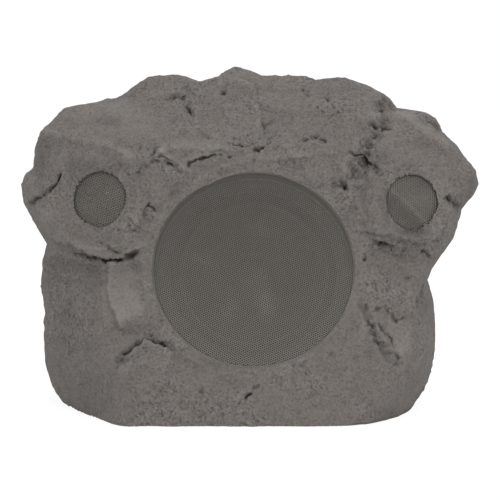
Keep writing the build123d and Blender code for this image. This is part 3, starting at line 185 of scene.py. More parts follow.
# Camera of the photograph
CAMERA_ELEVATION = math.radians(8)
CAMERA_DISTANCE = 4000
CAMERA_TARGET = (0, -150, 165)
CAMERA_RISE = 20.1
CAMERA_ASIDE = -3.7
FOCAL_PIXELS = 3773.6
IMAGE_PIXELS = 500
SENSOR = 36

# Steps of the skin's grid
LAND_SHARES = [-0.06, -0.04, -0.02]  # rows on the land, as shares of the way to the outline
TURNS = 640
FRONT_STEPS = 104
FRONT_ROWS = len(LAND_SHARES) + FRONT_STEPS
BACK_STEPS = 30
MIDDLE_STEPS = 8  # rows from the back's flat ring to its middle

# Pockets in the skin: widths over which points are drawn in to an edge, and how far out a pocket acts
TWEETER_SNAP = 1.1
BASE_SNAP = 2.5
GLAND_SNAP = 5.5
GLAND_NEAR = 7
TWEETER_NEAR = 25
TWEETER_GAP = 1  # between a small grille's skirt and the floor of its pocket
SNAP_LEAST = 0.15  # how near an edge drawn-in points may come, and how closely they are drawn in
SNAP_SQUEEZE = 6

# Places that the small relief keeps clear of: where it starts and the width over which it grows
LAND_CLEAR = POCKET_RADIUS + 1.5
LAND_CLEAR_BLEND = 9
PAD_CLEAR = TWEETER_POCKET_RADIUS + 0.3
PAD_CLEAR_BLEND = 6

# Noise in layers: strength, cell in millimetres, seed
WANDER_ACROSS = [(1, 5, 61), (0.7, 2.6, 64)]
WANDER_DOWN = [(1, 5, 62), (0.7, 2.6, 65)]
UNEVEN_WIDTH = [(0.45, 8, 63)]
UNEVEN_DEPTH = [(0.5, 7, 66), (0.5, 3.2, 68)]
FINE_RELIEF = [(0.5, 4.2, 43), (0.4, 2.4, 44)]
RELIEF_WANDER = 1.5  # pixels by which the drawn relief wanders, and the patches of painted light and shade
PATCH_WANDER = 2

# Other noise: cell in millimetres, seed
PATCH_NOISE = (46, 71)  # rough patches
SWELL_NOISE, SWELL_RIDGES = (30, 3), (18, 11)  # broad swells everywhere
LUMP_NOISE, LUMP_RIDGES = (6, 23), (11, 31)  # coarse lumps of the rough stone
PIT_NOISE = (5.5, 41)
STEP_NOISE = (36, 67)  # step outside the land
RIM_NOISE = (22, 81)  # rock over the large grille's rim

PATCH_ROUGHNESS = 0.7
UPPER_ROUGHNESS = 0.3  # of the rock above a height, and the width over which it gets so
UPPER_START = 150
UPPER_BLEND = 80
SEEN_START, SEEN_BLEND = 0.05, 0.35  # how far the rock has to face the camera for drawn relief
STEP_AWAY, STEP_WIDTH, STEP_BLEND = 6, 7, 4  # of the step outside the land
HOLLOW_DEPTH, HOLLOW_MOST = 9, 0.65  # depth of a full hollow, and how dark the painted shade in hollows gets
CREST_HEIGHT, CREST_MOST = 7, 0.4  # the same for the painted highlight on crests
# how dark the painted shade of the patches and faces gets
SHADE_PATCH_DIMNESS = 0.5
SHARP_ROCK, SHARP_SHEET, SHARP_RIM = math.radians(70), math.radians(40), math.radians(30)
TINY = 1e-6  # keeps a division clear of nought


# Small tools on whole arrays


def ease(share):
    """Smooth step 3s^2 - 2s^3 of a share clipped to 0..1."""
    share = np.clip(share, 0, 1)
    return share * share * (3 - 2 * share)


def oval(x, y, middle_x, middle_y, half_x, half_y, amount):
    """Soft oval: amount exp(-(dx/half_x)^2 - (dy/half_y)^2)."""
    return amount * np.exp(-(((x - middle_x) / half_x) ** 2) - ((y - middle_y) / half_y) ** 2)


def by_turn(table, turn):
    """Straight interpolation of a {degrees: value} table round the circle; turn in radians."""
    keys = np.array(sorted(table), dtype=float)
    values = np.array([table[k] for k in sorted(table)], dtype=float)
    return np.interp(np.degrees(turn) % 360, keys, values, period=360)


def lattice(ix, iy, iz, seed):
    """A fixed scrambled value from 0 to 1 for each whole-number lattice point."""
    with np.errstate(over="ignore"):
        h = (
            ix.astype(np.uint32) * np.uint32(374761393)
            + iy.astype(np.uint32) * np.uint32(668265263)
            + iz.astype(np.uint32) * np.uint32(2246822519)
            + np.uint32(seed) * np.uint32(3266489917)
        )
        h = (h ^ (h >> np.uint32(13))) * np.uint32(1274126177)
        h = (h ^ (h >> np.uint32(16))) * np.uint32(2246822519)
        h = h ^ (h >> np.uint32(15))
    return h.astype(np.float64) / 4294967295.0


def grain(points, cell, seed):
    """Value noise from -1 to 1: lattice values a cell apart, blended by quintic weights in x, y and z."""
    q = points / cell
    base = np.floor(q).astype(np.int64)
    f = q - base
    w = f * f * f * (f * (f * 6 - 15) + 10)
    total = np.zeros(points.shape[:-1])
    for dx in (0, 1):
        for dy in (0, 1):
            for dz in (0, 1):
                weight = (
                    (w[..., 0] if dx else 1 - w[..., 0])
                    * (w[..., 1] if dy else 1 - w[..., 1])
                    * (w[..., 2] if dz else 1 - w[..., 2])
                )
                total += weight * lattice(base[..., 0] + dx, base[..., 1] + dy, base[..., 2] + dz, seed)
    return total * 2 - 1


def layered(points, layers):
    """Sum of layers of grain, each given as (strength, cell, seed)."""
    return sum(strength * grain(points, cell, seed) for strength, cell, seed in layers)


def octaves(points, cell, seed):
    """Grain in two layers, the second of half the cell and half the height."""
    return layered(points, [(1, cell, seed), (0.5, cell / 2, seed + 1)])


def ridges(points, cell, seed):
    """Sharp-crested noise: 1 - 2|grain| in two such layers, high along crests and low in rounded hollows."""
    first, second = (1 - 2 * np.abs(grain(points, cell / (k + 1), seed + k)) for k in (0, 1))
    return first + 0.5 * second


def grid_mesh(name, points):
    """Mesh of a grid of points [rows, columns, 3]: quads between neighbours, closed round each row."""
    rows, columns = points.shape[:2]
    index = np.arange(rows * columns).reshape(rows, columns)
    following = np.roll(index, -1, axis=1)
    quads = np.stack([index[:-1], index[1:], following[1:], following[:-1]], axis=-1).reshape(-1, 4)
    return mesh_of(name, points.reshape(-1, 3), quads)


def mesh_of(name, points, faces):
    """Mesh object at the origin from points in millimetres and an array of equal-sided faces."""
    mesh = bpy.data.meshes.new(name)
    mesh.from_pydata((points * MM).tolist(), [], faces.tolist())
    mesh.polygons.foreach_set("use_smooth", np.ones(len(faces), dtype=bool))
    mesh.update()
    piece = bpy.data.objects.new(name, mesh)
    bpy.context.collection.objects.link(piece)
    return piece


def keep_values(piece, name, values):
    """Stores a value from 0 to 1 for each point of a piece, which its finish reads."""
    values = np.clip(values, 0, 1).ravel().astype(np.float32)
    piece.data.attributes.new(name, "FLOAT", "POINT").data.foreach_set("value", values)


def weld_last_row(mesh, count):
    """Makes one point of the last row of a grid, whose points all lie in the same place."""
    whole = bmesh.new()
    whole.from_mesh(mesh)
    whole.verts.ensure_lookup_table()
    bmesh.ops.remove_doubles(whole, verts=whole.verts[-count:], dist=TINY)
    whole.to_mesh(mesh)
    whole.free()


def turned(profile, axes, steps):
    """Grid of a profile of (radius, height) pairs carried once round an axis, and the ways out from it."""
    middle, aside, upright, out = axes
    turn = np.linspace(0, 2 * math.pi, steps, endpoint=False)[None, :, None]
    outwards = np.cos(turn) * aside + np.sin(turn) * upright
    profile = np.array(profile, dtype=float)[:, None]
    return middle + profile[..., :1] * outwards + profile[..., 1:] * out, outwards


# Rock surface

_across = OUTLINE[:, 0] * ROCK_WIDTH / np.ptp(OUTLINE[:, 0])
_up = OUTLINE[:, 1] * ROCK_HEIGHT / OUTLINE[:, 1].max() - BAFFLE_HEIGHT
OUTLINE_REACH = dict(zip(np.degrees(np.arctan2(_up, _across)) % 360, np.hypot(_across, _up)))


def baffle_depth(z):
    """y of the leaning front at a height: BAFFLE_Y + (z - BAFFLE_HEIGHT) tan(lean)."""
    return BAFFLE_Y + (z - BAFFLE_HEIGHT) * LEAN_SLOPE


def face_reach(x, z):
    """Distance from the woofer's axis in the leaning front: hypot(x, (z - BAFFLE_HEIGHT) / cos(lean))."""
    return np.hypot(x, (z - BAFFLE_HEIGHT) / math.cos(BAFFLE_LEAN))


def outline_reach(turn, share):
    """Reach of the outline; its notches are smoothed away towards the middle, as share^4."""
    steps = np.radians([-16, -8, 0, 8, 16])
    smooth = sum(by_turn(OUTLINE_REACH, turn + step) for step in steps) / len(steps)
    return smooth + (by_turn(OUTLINE_REACH, turn) - smooth) * share**4


def plain_form(turn, share, front):
    """Rock before its relief: reach r = middle + (outline - middle) share, and depth
    y = rim + (face - rim) (1 - fall^k)^(1/k), where fall is 0 on the flat share and 1 at the outline."""
    land = LAND_RADIUS / face_reach(np.cos(turn), BAFFLE_HEIGHT + np.sin(turn))
    middle = land if front else BACK_RADIUS
    radius = middle + (outline_reach(turn, share) - middle) * share
    x = radius * np.cos(turn)
    z = BAFFLE_HEIGHT + radius * np.sin(turn)
    face = baffle_depth(z) if front else BACK_Y
    flat = by_turn(FLAT_SHARE, turn) if front else BACK_FLAT_SHARE
    roundness = by_turn(ROUNDNESS, turn) if front else BACK_ROUNDNESS
    fall = np.clip((share - flat) / (1 - flat), 0, 1)
    rim = by_turn(OUTLINE_DEPTH, turn)
    y = rim + (face - rim) * (1 - fall**roundness) ** (1 / roundness)
    return np.stack([x, y, z], axis=-1)


def waves(points):
    """Depth of the small waves eaten into the surface: products of slow sines of x, y and z, summed."""
    x, y, z = points[..., 0], points[..., 1], points[..., 2]
    slow = np.sin(x / 23 + 1.3) * np.cos(z / 19 - 0.7) + np.sin(y / 21 + z / 27) * np.cos(x / 25)
    return WEATHERING * (0.6 + slow / 2 + 0.5 * np.sin(x / 11 + y / 13) * np.sin(z / 12 + 2))


def woofer_frame():
    """Middle of the front, and the sideways, upright and outward directions there."""
    upright = np.array([0, math.sin(BAFFLE_LEAN), math.cos(BAFFLE_LEAN)])
    out = np.array([0, -math.cos(BAFFLE_LEAN), math.sin(BAFFLE_LEAN)])
    return np.array([0, BAFFLE_Y, BAFFLE_HEIGHT]), np.array([1.0, 0, 0]), upright, out


def tweeter_frame(side):
    """Middle, sideways, upright and outward directions of a tweeter's pad."""
    x, z = TWEETER_PLACES[side]
    turn = math.copysign(TWEETER_TURN, x)
    flat = math.cos(TWEETER_LEAN)
    out = np.array([math.sin(turn) * flat, -math.cos(turn) * flat, math.sin(TWEETER_LEAN)])
    aside = np.array([math.cos(turn), math.sin(turn), 0.0])
    return np.array([x, baffle_depth(z) - TWEETER_FORWARD, z]), aside, np.cross(out, aside), out


def camera_frame():
    """Eye of the photograph's camera, and its right, up and back directions."""
    right = np.array([1.0, 0, 0])
    up = np.array([0, math.sin(CAMERA_ELEVATION), math.cos(CAMERA_ELEVATION)])
    back = np.array([0, -math.cos(CAMERA_ELEVATION), math.sin(CAMERA_ELEVATION)])
    eye = np.array(CAMERA_TARGET) + back * CAMERA_DISTANCE + up * CAMERA_RISE + right * CAMERA_ASIDE
    return eye, right, up, back


def photo_pixels(points):
    """Place of points in the photograph: pixel columns and rows of a pinhole camera."""
    eye, right, up, back = camera_frame()
    away = points - eye
    depth = -(away @ back)
    half = IMAGE_PIXELS / 2
    return half + FOCAL_PIXELS * (away @ right) / depth, half - FOCAL_PIXELS * (away @ up) / depth


# Relief that the photograph shows, in its own pixels: half widths in pixels, depths and rises in millimetres

CREVICES = [
    # path, half width, depth
    ([(60, 171), (57, 183), (42, 196), (27, 204)], 1.9, 10),  # crack through the left tip
    ([(74, 254), (92, 258), (104, 260), (118, 260), (128, 257), (138, 252)], 1.8, 10),  # under the left lobe
    ([(78, 249), (86, 253)], 1.5, 6),
    ([(100, 242), (110, 248), (121, 253)], 1.3, 4),  # second lip of the left lobe
    ([(117, 361), (128, 350), (137, 343), (146, 337)], 1.8, 8),  # arch at the lower left
    ([(145, 338), (155, 341), (169, 346)], 1.3, 6),
    ([(119, 368), (126, 362), (133, 356)], 1.3, 4),
    ([(361, 302), (368, 316), (374, 333), (384, 348), (397, 364)], 3.8, 7),  # groove at right
    ([(375, 318), (386, 332), (394, 352), (398, 364)], 1.4, 4),
    ([(376, 309), (385, 307), (392, 315), (396, 323)], 1.5, 5),
    ([(395, 321), (404, 316)], 1.3, 3),
    ([(244, 398), (251, 393), (259, 385)], 1.7, 7),  # short cut below the grille
    ([(187, 168), (192, 161), (203, 158), (214, 156), (231, 156)], 1.3, 7),  # under the brow, left
    ([(253, 150), (262, 148), (271, 144)], 1.3, 7),
    ([(231, 144), (241, 147), (250, 145)], 1.1, 3),
    ([(258, 129), (265, 126), (273, 122)], 1.4, 5),
    ([(303, 140), (311, 138), (319, 138), (326, 142)], 1.3, 8),
    ([(349, 152), (362, 157), (371, 164), (379, 172)], 2.2, 10),  # right of the brow
    ([(373, 241), (384, 246), (392, 249)], 1.8, 7),  # under the right lobe
    ([(421, 251), (429, 257)], 1.6, 6),
    ([(446, 197), (453, 203), (459, 209)], 2.2, 9),  # notch below the right tip
    ([(168, 97), (176, 95), (185, 98)], 1.6, 6),  # left of the middle lump
    ([(187, 106), (190, 112), (193, 115)], 1.4, 6),
    ([(369, 123), (379, 125), (389, 127)], 1.9, 8),
    ([(322, 99), (327, 97), (328, 103)], 1.3, 4),
    ([(303, 90), (308, 95)], 1.2, 5),
    ([(151, 161), (153, 152), (158, 149)], 1.1, 4),  # small cracks between the left lobe and the brow
    ([(153, 158), (163, 156), (169, 160)], 1.1, 4),
    ([(126, 171), (133, 178), (137, 182)], 1.1, 4),
    ([(137, 180), (141, 169), (150, 162)], 1.1, 3),
    ([(152, 161), (160, 161), (168, 164), (175, 168), (182, 172)], 1.4, 6),
    ([(145, 219), (146, 208), (151, 205), (155, 211)], 1.2, 5),
    ([(134, 230), (140, 233)], 1.2, 4),
    ([(126, 215), (131, 222), (127, 228)], 1.3, 3),
    ([(424, 119), (431, 122), (438, 129)], 1.5, 5),  # under the knob at right
    ([(398, 168), (392, 180), (389, 192)], 1.2, 2),
    ([(423, 286), (421, 296), (418, 304)], 2.0, 4),
    ([(386, 102), (380, 126), (367, 150), (361, 166), (342, 185)], 8, 6),  # valley beside the right lobe
    ([(36, 250), (48, 262), (56, 286)], 6, 3),
]
PITS = [
    # column, row, half width, half height, depth
    (150, 206, 2, 2, 3), (340, 183, 5, 3, 8), (344, 187, 3, 3, 5), (354, 208, 2, 2, 5), (365, 258, 1.8, 3, 7),
    (223, 93, 1.7, 1.4, 7), (202, 137, 4, 4, 3), (208, 138, 3, 3, 3), (175, 97, 4, 2.5, 3),
    (380, 102, 2, 2, 5), (386, 100, 2, 2, 5), (391, 105, 2, 2, 5), (383, 109, 2.2, 2, 6),
    (389, 111, 1.7, 1.7, 4), (379, 107, 1.6, 2, 4), (112, 123, 7, 3, 2), (313, 395, 3, 2, 4),
    (180, 404, 5, 2, 3), (201, 391, 3, 2, 3),
    (163, 388, 6, 3, 2.5), (60, 338, 4, 3, 3), (66, 312, 5, 8, 3), (408, 278, 3, 2, 4), (136, 230, 3, 2, 3),
    (128, 219, 2.5, 2, 3), (262, 178, 3, 2, 1), (118, 300, 2, 2, 1), (356, 357, 3, 2, 3), (331, 354, 2, 4, 3),
]
LEDGES = [
    # path with the raised side on its left hand as drawn, rise, how far the rise runs back
    ([(58, 241), (76, 247), (90, 253), (104, 256), (120, 256), (138, 249)], 4, 20),  # left lobe's lower edge
    ([(366, 232), (385, 235), (405, 241), (420, 244), (434, 240)], 4, 20),  # right lobe's lower edge
    ([(160, 154), (173, 150), (196, 152), (217, 150), (230, 152)], 3, 14),  # brow, left
    ([(222, 170), (240, 164), (257, 160), (300, 158), (331, 155)], 3, 14),  # brow, right
    ([(42, 134), (60, 138), (85, 143), (105, 147), (117, 152), (129, 163)], 3, 20),  # brow over the left lobe
    ([(160, 154), (172, 160), (184, 171)], 3, 12),  # fold beside the grille
    ([(262, 128), (260, 112), (257, 100), (255, 93), (252, 87), (240, 82)], 4, 22),  # middle lump, right edge
    ([(170, 350), (156, 345), (145, 341), (132, 351), (120, 366)], 5, 22),  # bulge under the arch
    ([(107, 262), (108, 298), (118, 323)], 4, 26),  # corner left of the flat face
    ([(436, 240), (443, 228), (440, 212)], 4, 12),  # lump beside the right tweeter
]
CRESTS = [
    # path, half width, rise: narrow worn edges
    ([(257, 100), (267, 106), (277, 108), (292, 110), (310, 110), (330, 107), (350, 104), (372, 98)], 2.2, 4),
    ([(377, 116), (390, 114), (407, 120), (422, 132), (435, 141), (446, 148)], 3, 5),
    ([(241, 82), (252, 87), (255, 94), (258, 101)], 2.2, 3),
    ([(42, 134), (60, 138), (85, 143), (105, 147), (117, 152)], 3, 1.5),
    ([(362, 313), (366, 350)], 2, 2),
    ([(421, 355), (416, 368)], 2, 2),
]
FLAT_FACES = [
    # corners clockwise, how much of the small relief is smoothed away, how much paler the face is: painted
    # light above nought, painted shade below
    ([(107, 263), (137, 260), (145, 312), (118, 323)], 0.4, 0.2),
    ([(107, 290), (141, 290), (144, 314), (118, 324)], 0.4, 0.2),
    ([(58, 112), (128, 98), (165, 118), (160, 142), (110, 142), (60, 132)], 0.6, 0.1),
    ([(170, 141), (222, 140), (222, 150), (172, 150)], 0.5, 0.25),
    ([(262, 92), (330, 95), (345, 102), (300, 108), (264, 104)], 0.6, 0.12),
    ([(383, 318), (415, 316), (412, 352), (400, 356)], 0.6, 0.25),
    ([(395, 112), (412, 113), (452, 143), (446, 148), (420, 130)], 0.5, 0.35),
    ([(37, 136), (48, 138), (52, 150), (46, 168), (37, 170)], 0.0, -0.4),
    ([(124, 322), (150, 316), (168, 336), (148, 334), (122, 352)], 0.6, -0.12),
    ([(42, 262), (104, 262), (104, 330), (46, 330)], 0.0, -0.12),
    ([(366, 236), (392, 236), (428, 242), (430, 256), (370, 252)], 0.0, -0.5),
    ([(84, 262), (104, 262), (102, 284), (88, 280)], 0.0, -0.35),
]
ROUGH_PATCHES = [
    # column, row, half width, half height, strength
    (188, 97, 20, 16, 0.9), (243, 143, 30, 9, 0.9), (95, 262, 22, 10, 0.8), (395, 248, 36, 12, 0.9),
    (168, 170, 16, 16, 0.8), (366, 150, 20, 22, 0.7), (146, 356, 18, 10, 0.7), (392, 295, 24, 16, 0.6),
    (72, 325, 30, 50, 0.7), (180, 398, 40, 10, 0.4), (384, 106, 10, 10, 1.0), (120, 222, 22, 16, 0.6),
    (350, 190, 14, 14, 0.6), (440, 228, 12, 18, 0.7), (325, 98, 12, 8, 0.7), (45, 190, 16, 20, 0.6),
    (152, 158, 18, 12, 0.8), (108, 166, 22, 8, 0.6), (366, 164, 16, 14, 0.9), (150, 212, 12, 12, 0.7),
    (312, 140, 20, 8, 0.8), (60, 288, 26, 40, 0.6), (190, 125, 34, 12, 0.6), (405, 175, 26, 14, 0.6),
]
LIGHT_AND_SHADE_PATCHES = [
    # painted highlight (+) and painted shade (-) in soft ovals: column, row, half width, half height, how
    # much paler (+) or dimmer (-)
    (90, 166, 28, 7, -0.5), (72, 176, 10, 12, -0.4), (132, 200, 6, 8, -0.3), (78, 212, 5, 9, 0.25),
    (147, 217, 7, 6, 0.2), (100, 238, 40, 6, -0.25), (74, 264, 16, 7, -0.5), (106, 290, 5, 38, 0.25),
    (137, 266, 7, 8, -0.4), (122, 300, 6, 10, -0.2), (161, 320, 6, 9, -0.35), (145, 352, 10, 8, -0.4),
    (130, 358, 8, 6, -0.3), (211, 362, 9, 7, -0.4), (75, 372, 20, 26, 0.08), (160, 156, 9, 6, 0.3),
    (172, 168, 7, 7, 0.25), (196, 166, 10, 4, -0.3), (178, 192, 12, 12, -0.3), (162, 178, 9, 9, -0.15),
    (290, 158, 32, 4, 0.3), (215, 155, 20, 3, 0.15), (346, 170, 5, 6, 0.3), (362, 212, 4, 10, 0.25),
    (264, 105, 5, 22, 0.2), (230, 78, 20, 6, 0.15), (190, 96, 12, 9, -0.3), (238, 94, 12, 5, -0.3),
    (250, 146, 12, 5, -0.2), (270, 134, 10, 10, -0.35), (328, 92, 10, 6, -0.3), (315, 138, 14, 5, -0.25),
    (108, 122, 14, 6, -0.2), (365, 130, 6, 9, -0.5), (386, 104, 8, 9, -0.6), (380, 157, 11, 8, -0.6),
    (334, 182, 5, 5, -0.5), (355, 187, 5, 5, -0.3), (459, 196, 5, 5, -0.7), (474, 183, 4, 6, -0.5),
    (402, 118, 18, 4, 0.2), (436, 190, 4, 8, 0.3), (433, 222, 5, 8, 0.3), (48, 190, 12, 10, -0.25),
    (470, 190, 6, 14, -0.4), (384, 205, 8, 22, -0.35), (405, 234, 24, 5, -0.7), (407, 168, 12, 6, -0.35),
    (378, 240, 10, 4, 0.3), (373, 254, 12, 5, -0.4), (403, 260, 8, 8, 0.15),
    (373, 351, 6, 8, -0.4), (409, 320, 7, 10, -0.35), (391, 341, 5, 12, 0.25), (358, 298, 10, 12, -0.2),
    (330, 405, 40, 6, -0.1), (140, 406, 16, 6, -0.1), (158, 155, 10, 5, 0.25), (125, 154, 10, 4, 0.15),
    (285, 158, 14, 4, 0.25), (424, 236, 12, 4, -0.5), (375, 239, 10, 4, 0.2), (103, 263, 8, 5, 0.25),
    (82, 270, 8, 6, -0.4), (58, 260, 5, 5, -0.3), (347, 216, 5, 12, -0.5), (318, 186, 16, 5, -0.4),
    (286, 173, 12, 3, -0.4), (172, 190, 8, 10, -0.3), (160, 318, 6, 9, -0.25), (212, 365, 8, 5, -0.25),
    (118, 168, 10, 7, -0.4), (131, 183, 5, 8, -0.3), (362, 335, 4, 12, 0.2), (398, 352, 6, 10, 0.25),
    (235, 74, 26, 7, 0.2), (165, 90, 14, 8, 0.15), (100, 108, 40, 7, 0.12), (290, 82, 24, 6, 0.12),
    (365, 108, 12, 10, 0.12), (46, 215, 10, 14, 0.3), (30, 180, 8, 10, 0.2), (50, 315, 6, 22, 0.25),
    (60, 395, 14, 12, 0.15), (431, 350, 8, 25, 0.25), (410, 402, 18, 12, 0.2), (125, 160, 8, 5, 0.2),
    (155, 157, 10, 6, 0.25), (205, 155, 16, 4, 0.2), (181, 172, 7, 6, 0.25), (346, 172, 5, 8, 0.2),
    (365, 160, 5, 6, 0.25), (376, 132, 5, 8, 0.3), (88, 348, 20, 8, -0.2), (62, 262, 7, 8, -0.3),
    (412, 366, 10, 10, 0.12), (425, 306, 5, 8, -0.4), (100, 342, 12, 6, -0.25), (70, 335, 8, 8, -0.25),
]
CREVICE_END = 0.35  # depth of a crevice at its ends, as a share of its depth
LEDGE_STEP = 3  # width of a ledge's edge, and of the fading past its ends, in pixels
LEDGE_END = 7
FACE_MARGIN = 3  # how far a flat face runs past its drawn edge, and how wide it fades, in pixels
FACE_BLEND = 8


def stroke_distance(column, row, path):
    """Distance in pixels to a drawn path, its side (left hand 1, right hand -1) and the share along it."""
    nearest = np.full(column.shape, np.inf)
    side = np.zeros(column.shape)
    share = np.zeros(column.shape)
    steps = len(path) - 1
    for k, ((ax, ay), (bx, by)) in enumerate(zip(path, path[1:])):
        dx, dy = bx - ax, by - ay
        along = np.clip(((column - ax) * dx + (row - ay) * dy) / (dx * dx + dy * dy), 0, 1)
        away = np.hypot(column - ax - along * dx, row - ay - along * dy)
        hand = (row - ay) * dx - (column - ax) * dy
        closer = away < nearest
        side = np.where(closer, -np.sign(hand), side)
        share = np.where(closer, (k + along) / steps, share)
        nearest = np.minimum(nearest, away)
    return nearest, side, share


def overshoot(column, row, path):
    """How far a point lies past the two ends of a path, in pixels."""
    (ax, ay), (bx, by) = path[0], path[1]
    (cx, cy), (ex, ey) = path[-2], path[-1]
    start = ((ax - column) * (bx - ax) + (ay - row) * (by - ay)) / math.hypot(bx - ax, by - ay)
    end = ((column - ex) * (ex - cx) + (row - ey) * (ey - cy)) / math.hypot(ex - cx, ey - cy)
    return np.maximum(np.maximum(start, end), 0)


def inside(column, row, corners):
    """Distance in pixels inside a convex face drawn clockwise, negative outside."""
    depth = np.full(column.shape, np.inf)
    for (ax, ay), (bx, by) in zip(corners, corners[1:] + corners[:1]):
        dx, dy = bx - ax, by - ay
        depth = np.minimum(depth, ((row - ay) * dx - (column - ax) * dy) / math.hypot(dx, dy))
    return depth


def photo_relief(column, row, uneven, broken):
    """Height in millimetres of the drawn crevices, pits, ledges and crests. A crevice is
    -depth exp(-(d/w)^2), shallow at its ends and of uneven width and depth. A ledge rises on one side and
    dies away behind its edge. A crest is rise exp(-d/w)."""
    height = -broken * sum(oval(column, row, *pit) for pit in PITS)
    for path, width, depth in CREVICES:
        away, _, share = stroke_distance(column, row, path)
        deep = CREVICE_END + (1 - CREVICE_END) * np.sqrt(4 * share * (1 - share))
        height -= depth * deep * broken * np.exp(-((away / (width * uneven)) ** 2))
    for path, rise, run in LEDGES:
        away, side, _ = stroke_distance(column, row, path)
        behind = np.where(side > 0, away, -away)
        step = ease((behind + LEDGE_STEP / 2) / LEDGE_STEP) * np.exp(-np.maximum(behind, 0) / run)
        height += rise * step * np.exp(-((overshoot(column, row, path) / LEDGE_END) ** 2))
    for path, width, rise in CRESTS:
        height += rise * np.exp(-stroke_distance(column, row, path)[0] / width)
    return height


def face_wear(column, row):
    """Share of the small relief that the flat faces have lost, and their painted light (+) and painted shade
    (-).
    """
    wear_and_painted_light = np.zeros(column.shape)
    tone = np.zeros(column.shape)
    for corners, smooth, pale in FLAT_FACES:
        mask = ease((inside(column, row, corners) + FACE_MARGIN) / FACE_BLEND)
        wear_and_painted_light = np.maximum(wear_and_painted_light, smooth * mask)
        tone += pale * mask
    return wear_and_painted_light, tone


def lips(column, row, table):
    """Sum of the round places where rock grows over a grille's rim."""
    return sum(oval(column, row, px, py, size, size, cover) for px, py, size, cover in table)


def smoothed(values, half):
    """Mean of a closed grid over a square of neighbours, first round the rows and then across them."""
    width = 2 * half + 1
    for axis, mode in ((1, "wrap"), (0, "edge")):
        pad = [(half, half) if k == axis else (0, 0) for k in (0, 1)]
        total = np.cumsum(np.pad(values, pad, mode=mode), axis=axis)
        total = np.concatenate([np.zeros_like(np.take(total, [0], axis)), total], axis=axis)
        count = values.shape[axis]
        ahead = np.take(total, np.arange(width, width + count), axis)
        values = (ahead - np.take(total, np.arange(count), axis)) / width
    return values


def grid_normals(points):
    """Unit normals of a closed grid, from the cross product of its two directions."""
    outward = np.gradient(points, axis=0)
    round_ = np.roll(points, -1, axis=1) - np.roll(points, 1, axis=1)
    normal = np.cross(outward, round_)
    return normal / np.maximum(np.linalg.norm(normal, axis=-1, keepdims=True), TINY)


def snapped(distance, reach):
    """Distances near a border drawn in from both sides to least + d/squeeze, so that a cut runs clean."""
    onto = np.where(distance < 0, -1, 1) * (SNAP_LEAST + np.abs(distance) / SNAP_SQUEEZE)
    return np.where(np.abs(distance) < reach, onto, distance)


def rounded_rectangle(x, y):
    """Signed distance to the base pocket's outline and the direction straight out of it."""
    dx, dy = x - BASE_CENTRE[0], y - BASE_CENTRE[1]
    qx = np.abs(dx) - BASE_HALF[0] + BASE_CORNER
    qy = np.abs(dy) - BASE_HALF[1] + BASE_CORNER
    outside = np.hypot(np.maximum(qx, 0), np.maximum(qy, 0))
    distance = outside + np.minimum(np.maximum(qx, qy), 0) - BASE_CORNER
    rounder = np.maximum(outside, TINY)
    beyond = outside > 0
    nx = np.where(beyond, np.maximum(qx, 0) / rounder, qx >= qy) * np.sign(dx)
    ny = np.where(beyond, np.maximum(qy, 0) / rounder, qx < qy) * np.sign(dy)
    return distance, nx, ny


def under_floor(skin):
    """Lays the part of each column that dips below the floor straight along it, from the point where the
    column goes under to the point where it comes up again. Returns which points lie there."""
    below = skin[..., 2] < 0
    dips = below.any(axis=0)
    first = np.where(dips, below.argmax(axis=0), 1)
    last = np.where(dips, len(skin) - 1 - below[::-1].argmax(axis=0), 1)
    columns = np.arange(skin.shape[1])

    def crossing(outer, inner):
        high, low = skin[outer, columns], skin[inner, columns]
        share = np.clip(high[:, 2] / np.where(dips, high[:, 2] - low[:, 2], 1), 0, 1)[:, None]
        return high + (low - high) * share

    start, end = crossing(first - 1, first), crossing(last + 1, last)
    rows = np.arange(len(skin))[:, None]
    under = dips & (rows >= first) & (rows <= last)
    share = (rows - first) / np.maximum(last - first, 1)
    laid = start + (end - start) * share[..., None] * np.array([1, 1, 0])
    laid[..., 2] = 0
    skin[:] = np.where(under[..., None], laid, skin)
    return under


def rock_form():
    """Rock with its lumps, waves and flat pads: a polar grid about the woofer's axis, from the land over the
    widest outline to the middle of the back. Returns it and a mask of its front, nil on the tweeters."""
    turn = np.linspace(0, 2 * math.pi, TURNS, endpoint=False)[None, :]
    share_front = np.concatenate([LAND_SHARES, np.linspace(0, 1, FRONT_STEPS)])[:, None]
    share_back = np.linspace(1, 0, BACK_STEPS)[1:, None]
    front = plain_form(turn, share_front, True)
    back = plain_form(turn, share_back, False)
    off_land = ease((face_reach(front[..., 0], front[..., 2]) - LAND_RADIUS) / LAND_BLEND)
    rise = sum(oval(front[..., 0], front[..., 2], *lump) for lump in LUMPS) - waves(front)
    front[..., 1] -= rise * off_land * (1 - share_front**6)
    back[..., 1] -= waves(back) * ease(share_back / 0.25) * (1 - share_back**6)
    pad_mask = np.ones(front.shape[:2])
    for side in TWEETER_PLACES:
        middle, _, _, out = tweeter_frame(side)
        across, above = front[..., 0] - middle[0], front[..., 2] - middle[2]
        flat_y = middle[1] - (across * out[0] + above * out[2]) / out[1]
        apart = np.hypot(across, above)
        away = ease((apart - TWEETER_PAD_RADIUS) / TWEETER_PAD_BLEND)
        front[..., 1] = flat_y + (front[..., 1] - flat_y) * away
        pad_mask *= ease((apart - PAD_CLEAR) / PAD_CLEAR_BLEND)
    inwards = np.linspace(1, 0, MIDDLE_STEPS + 1)[1:, None] * BACK_RADIUS
    flat_back = [inwards * np.cos(turn), BACK_Y, BAFFLE_HEIGHT + inwards * np.sin(turn)]
    return np.concatenate([front, back, np.stack(np.broadcast_arrays(*flat_back), axis=-1)]), pad_mask


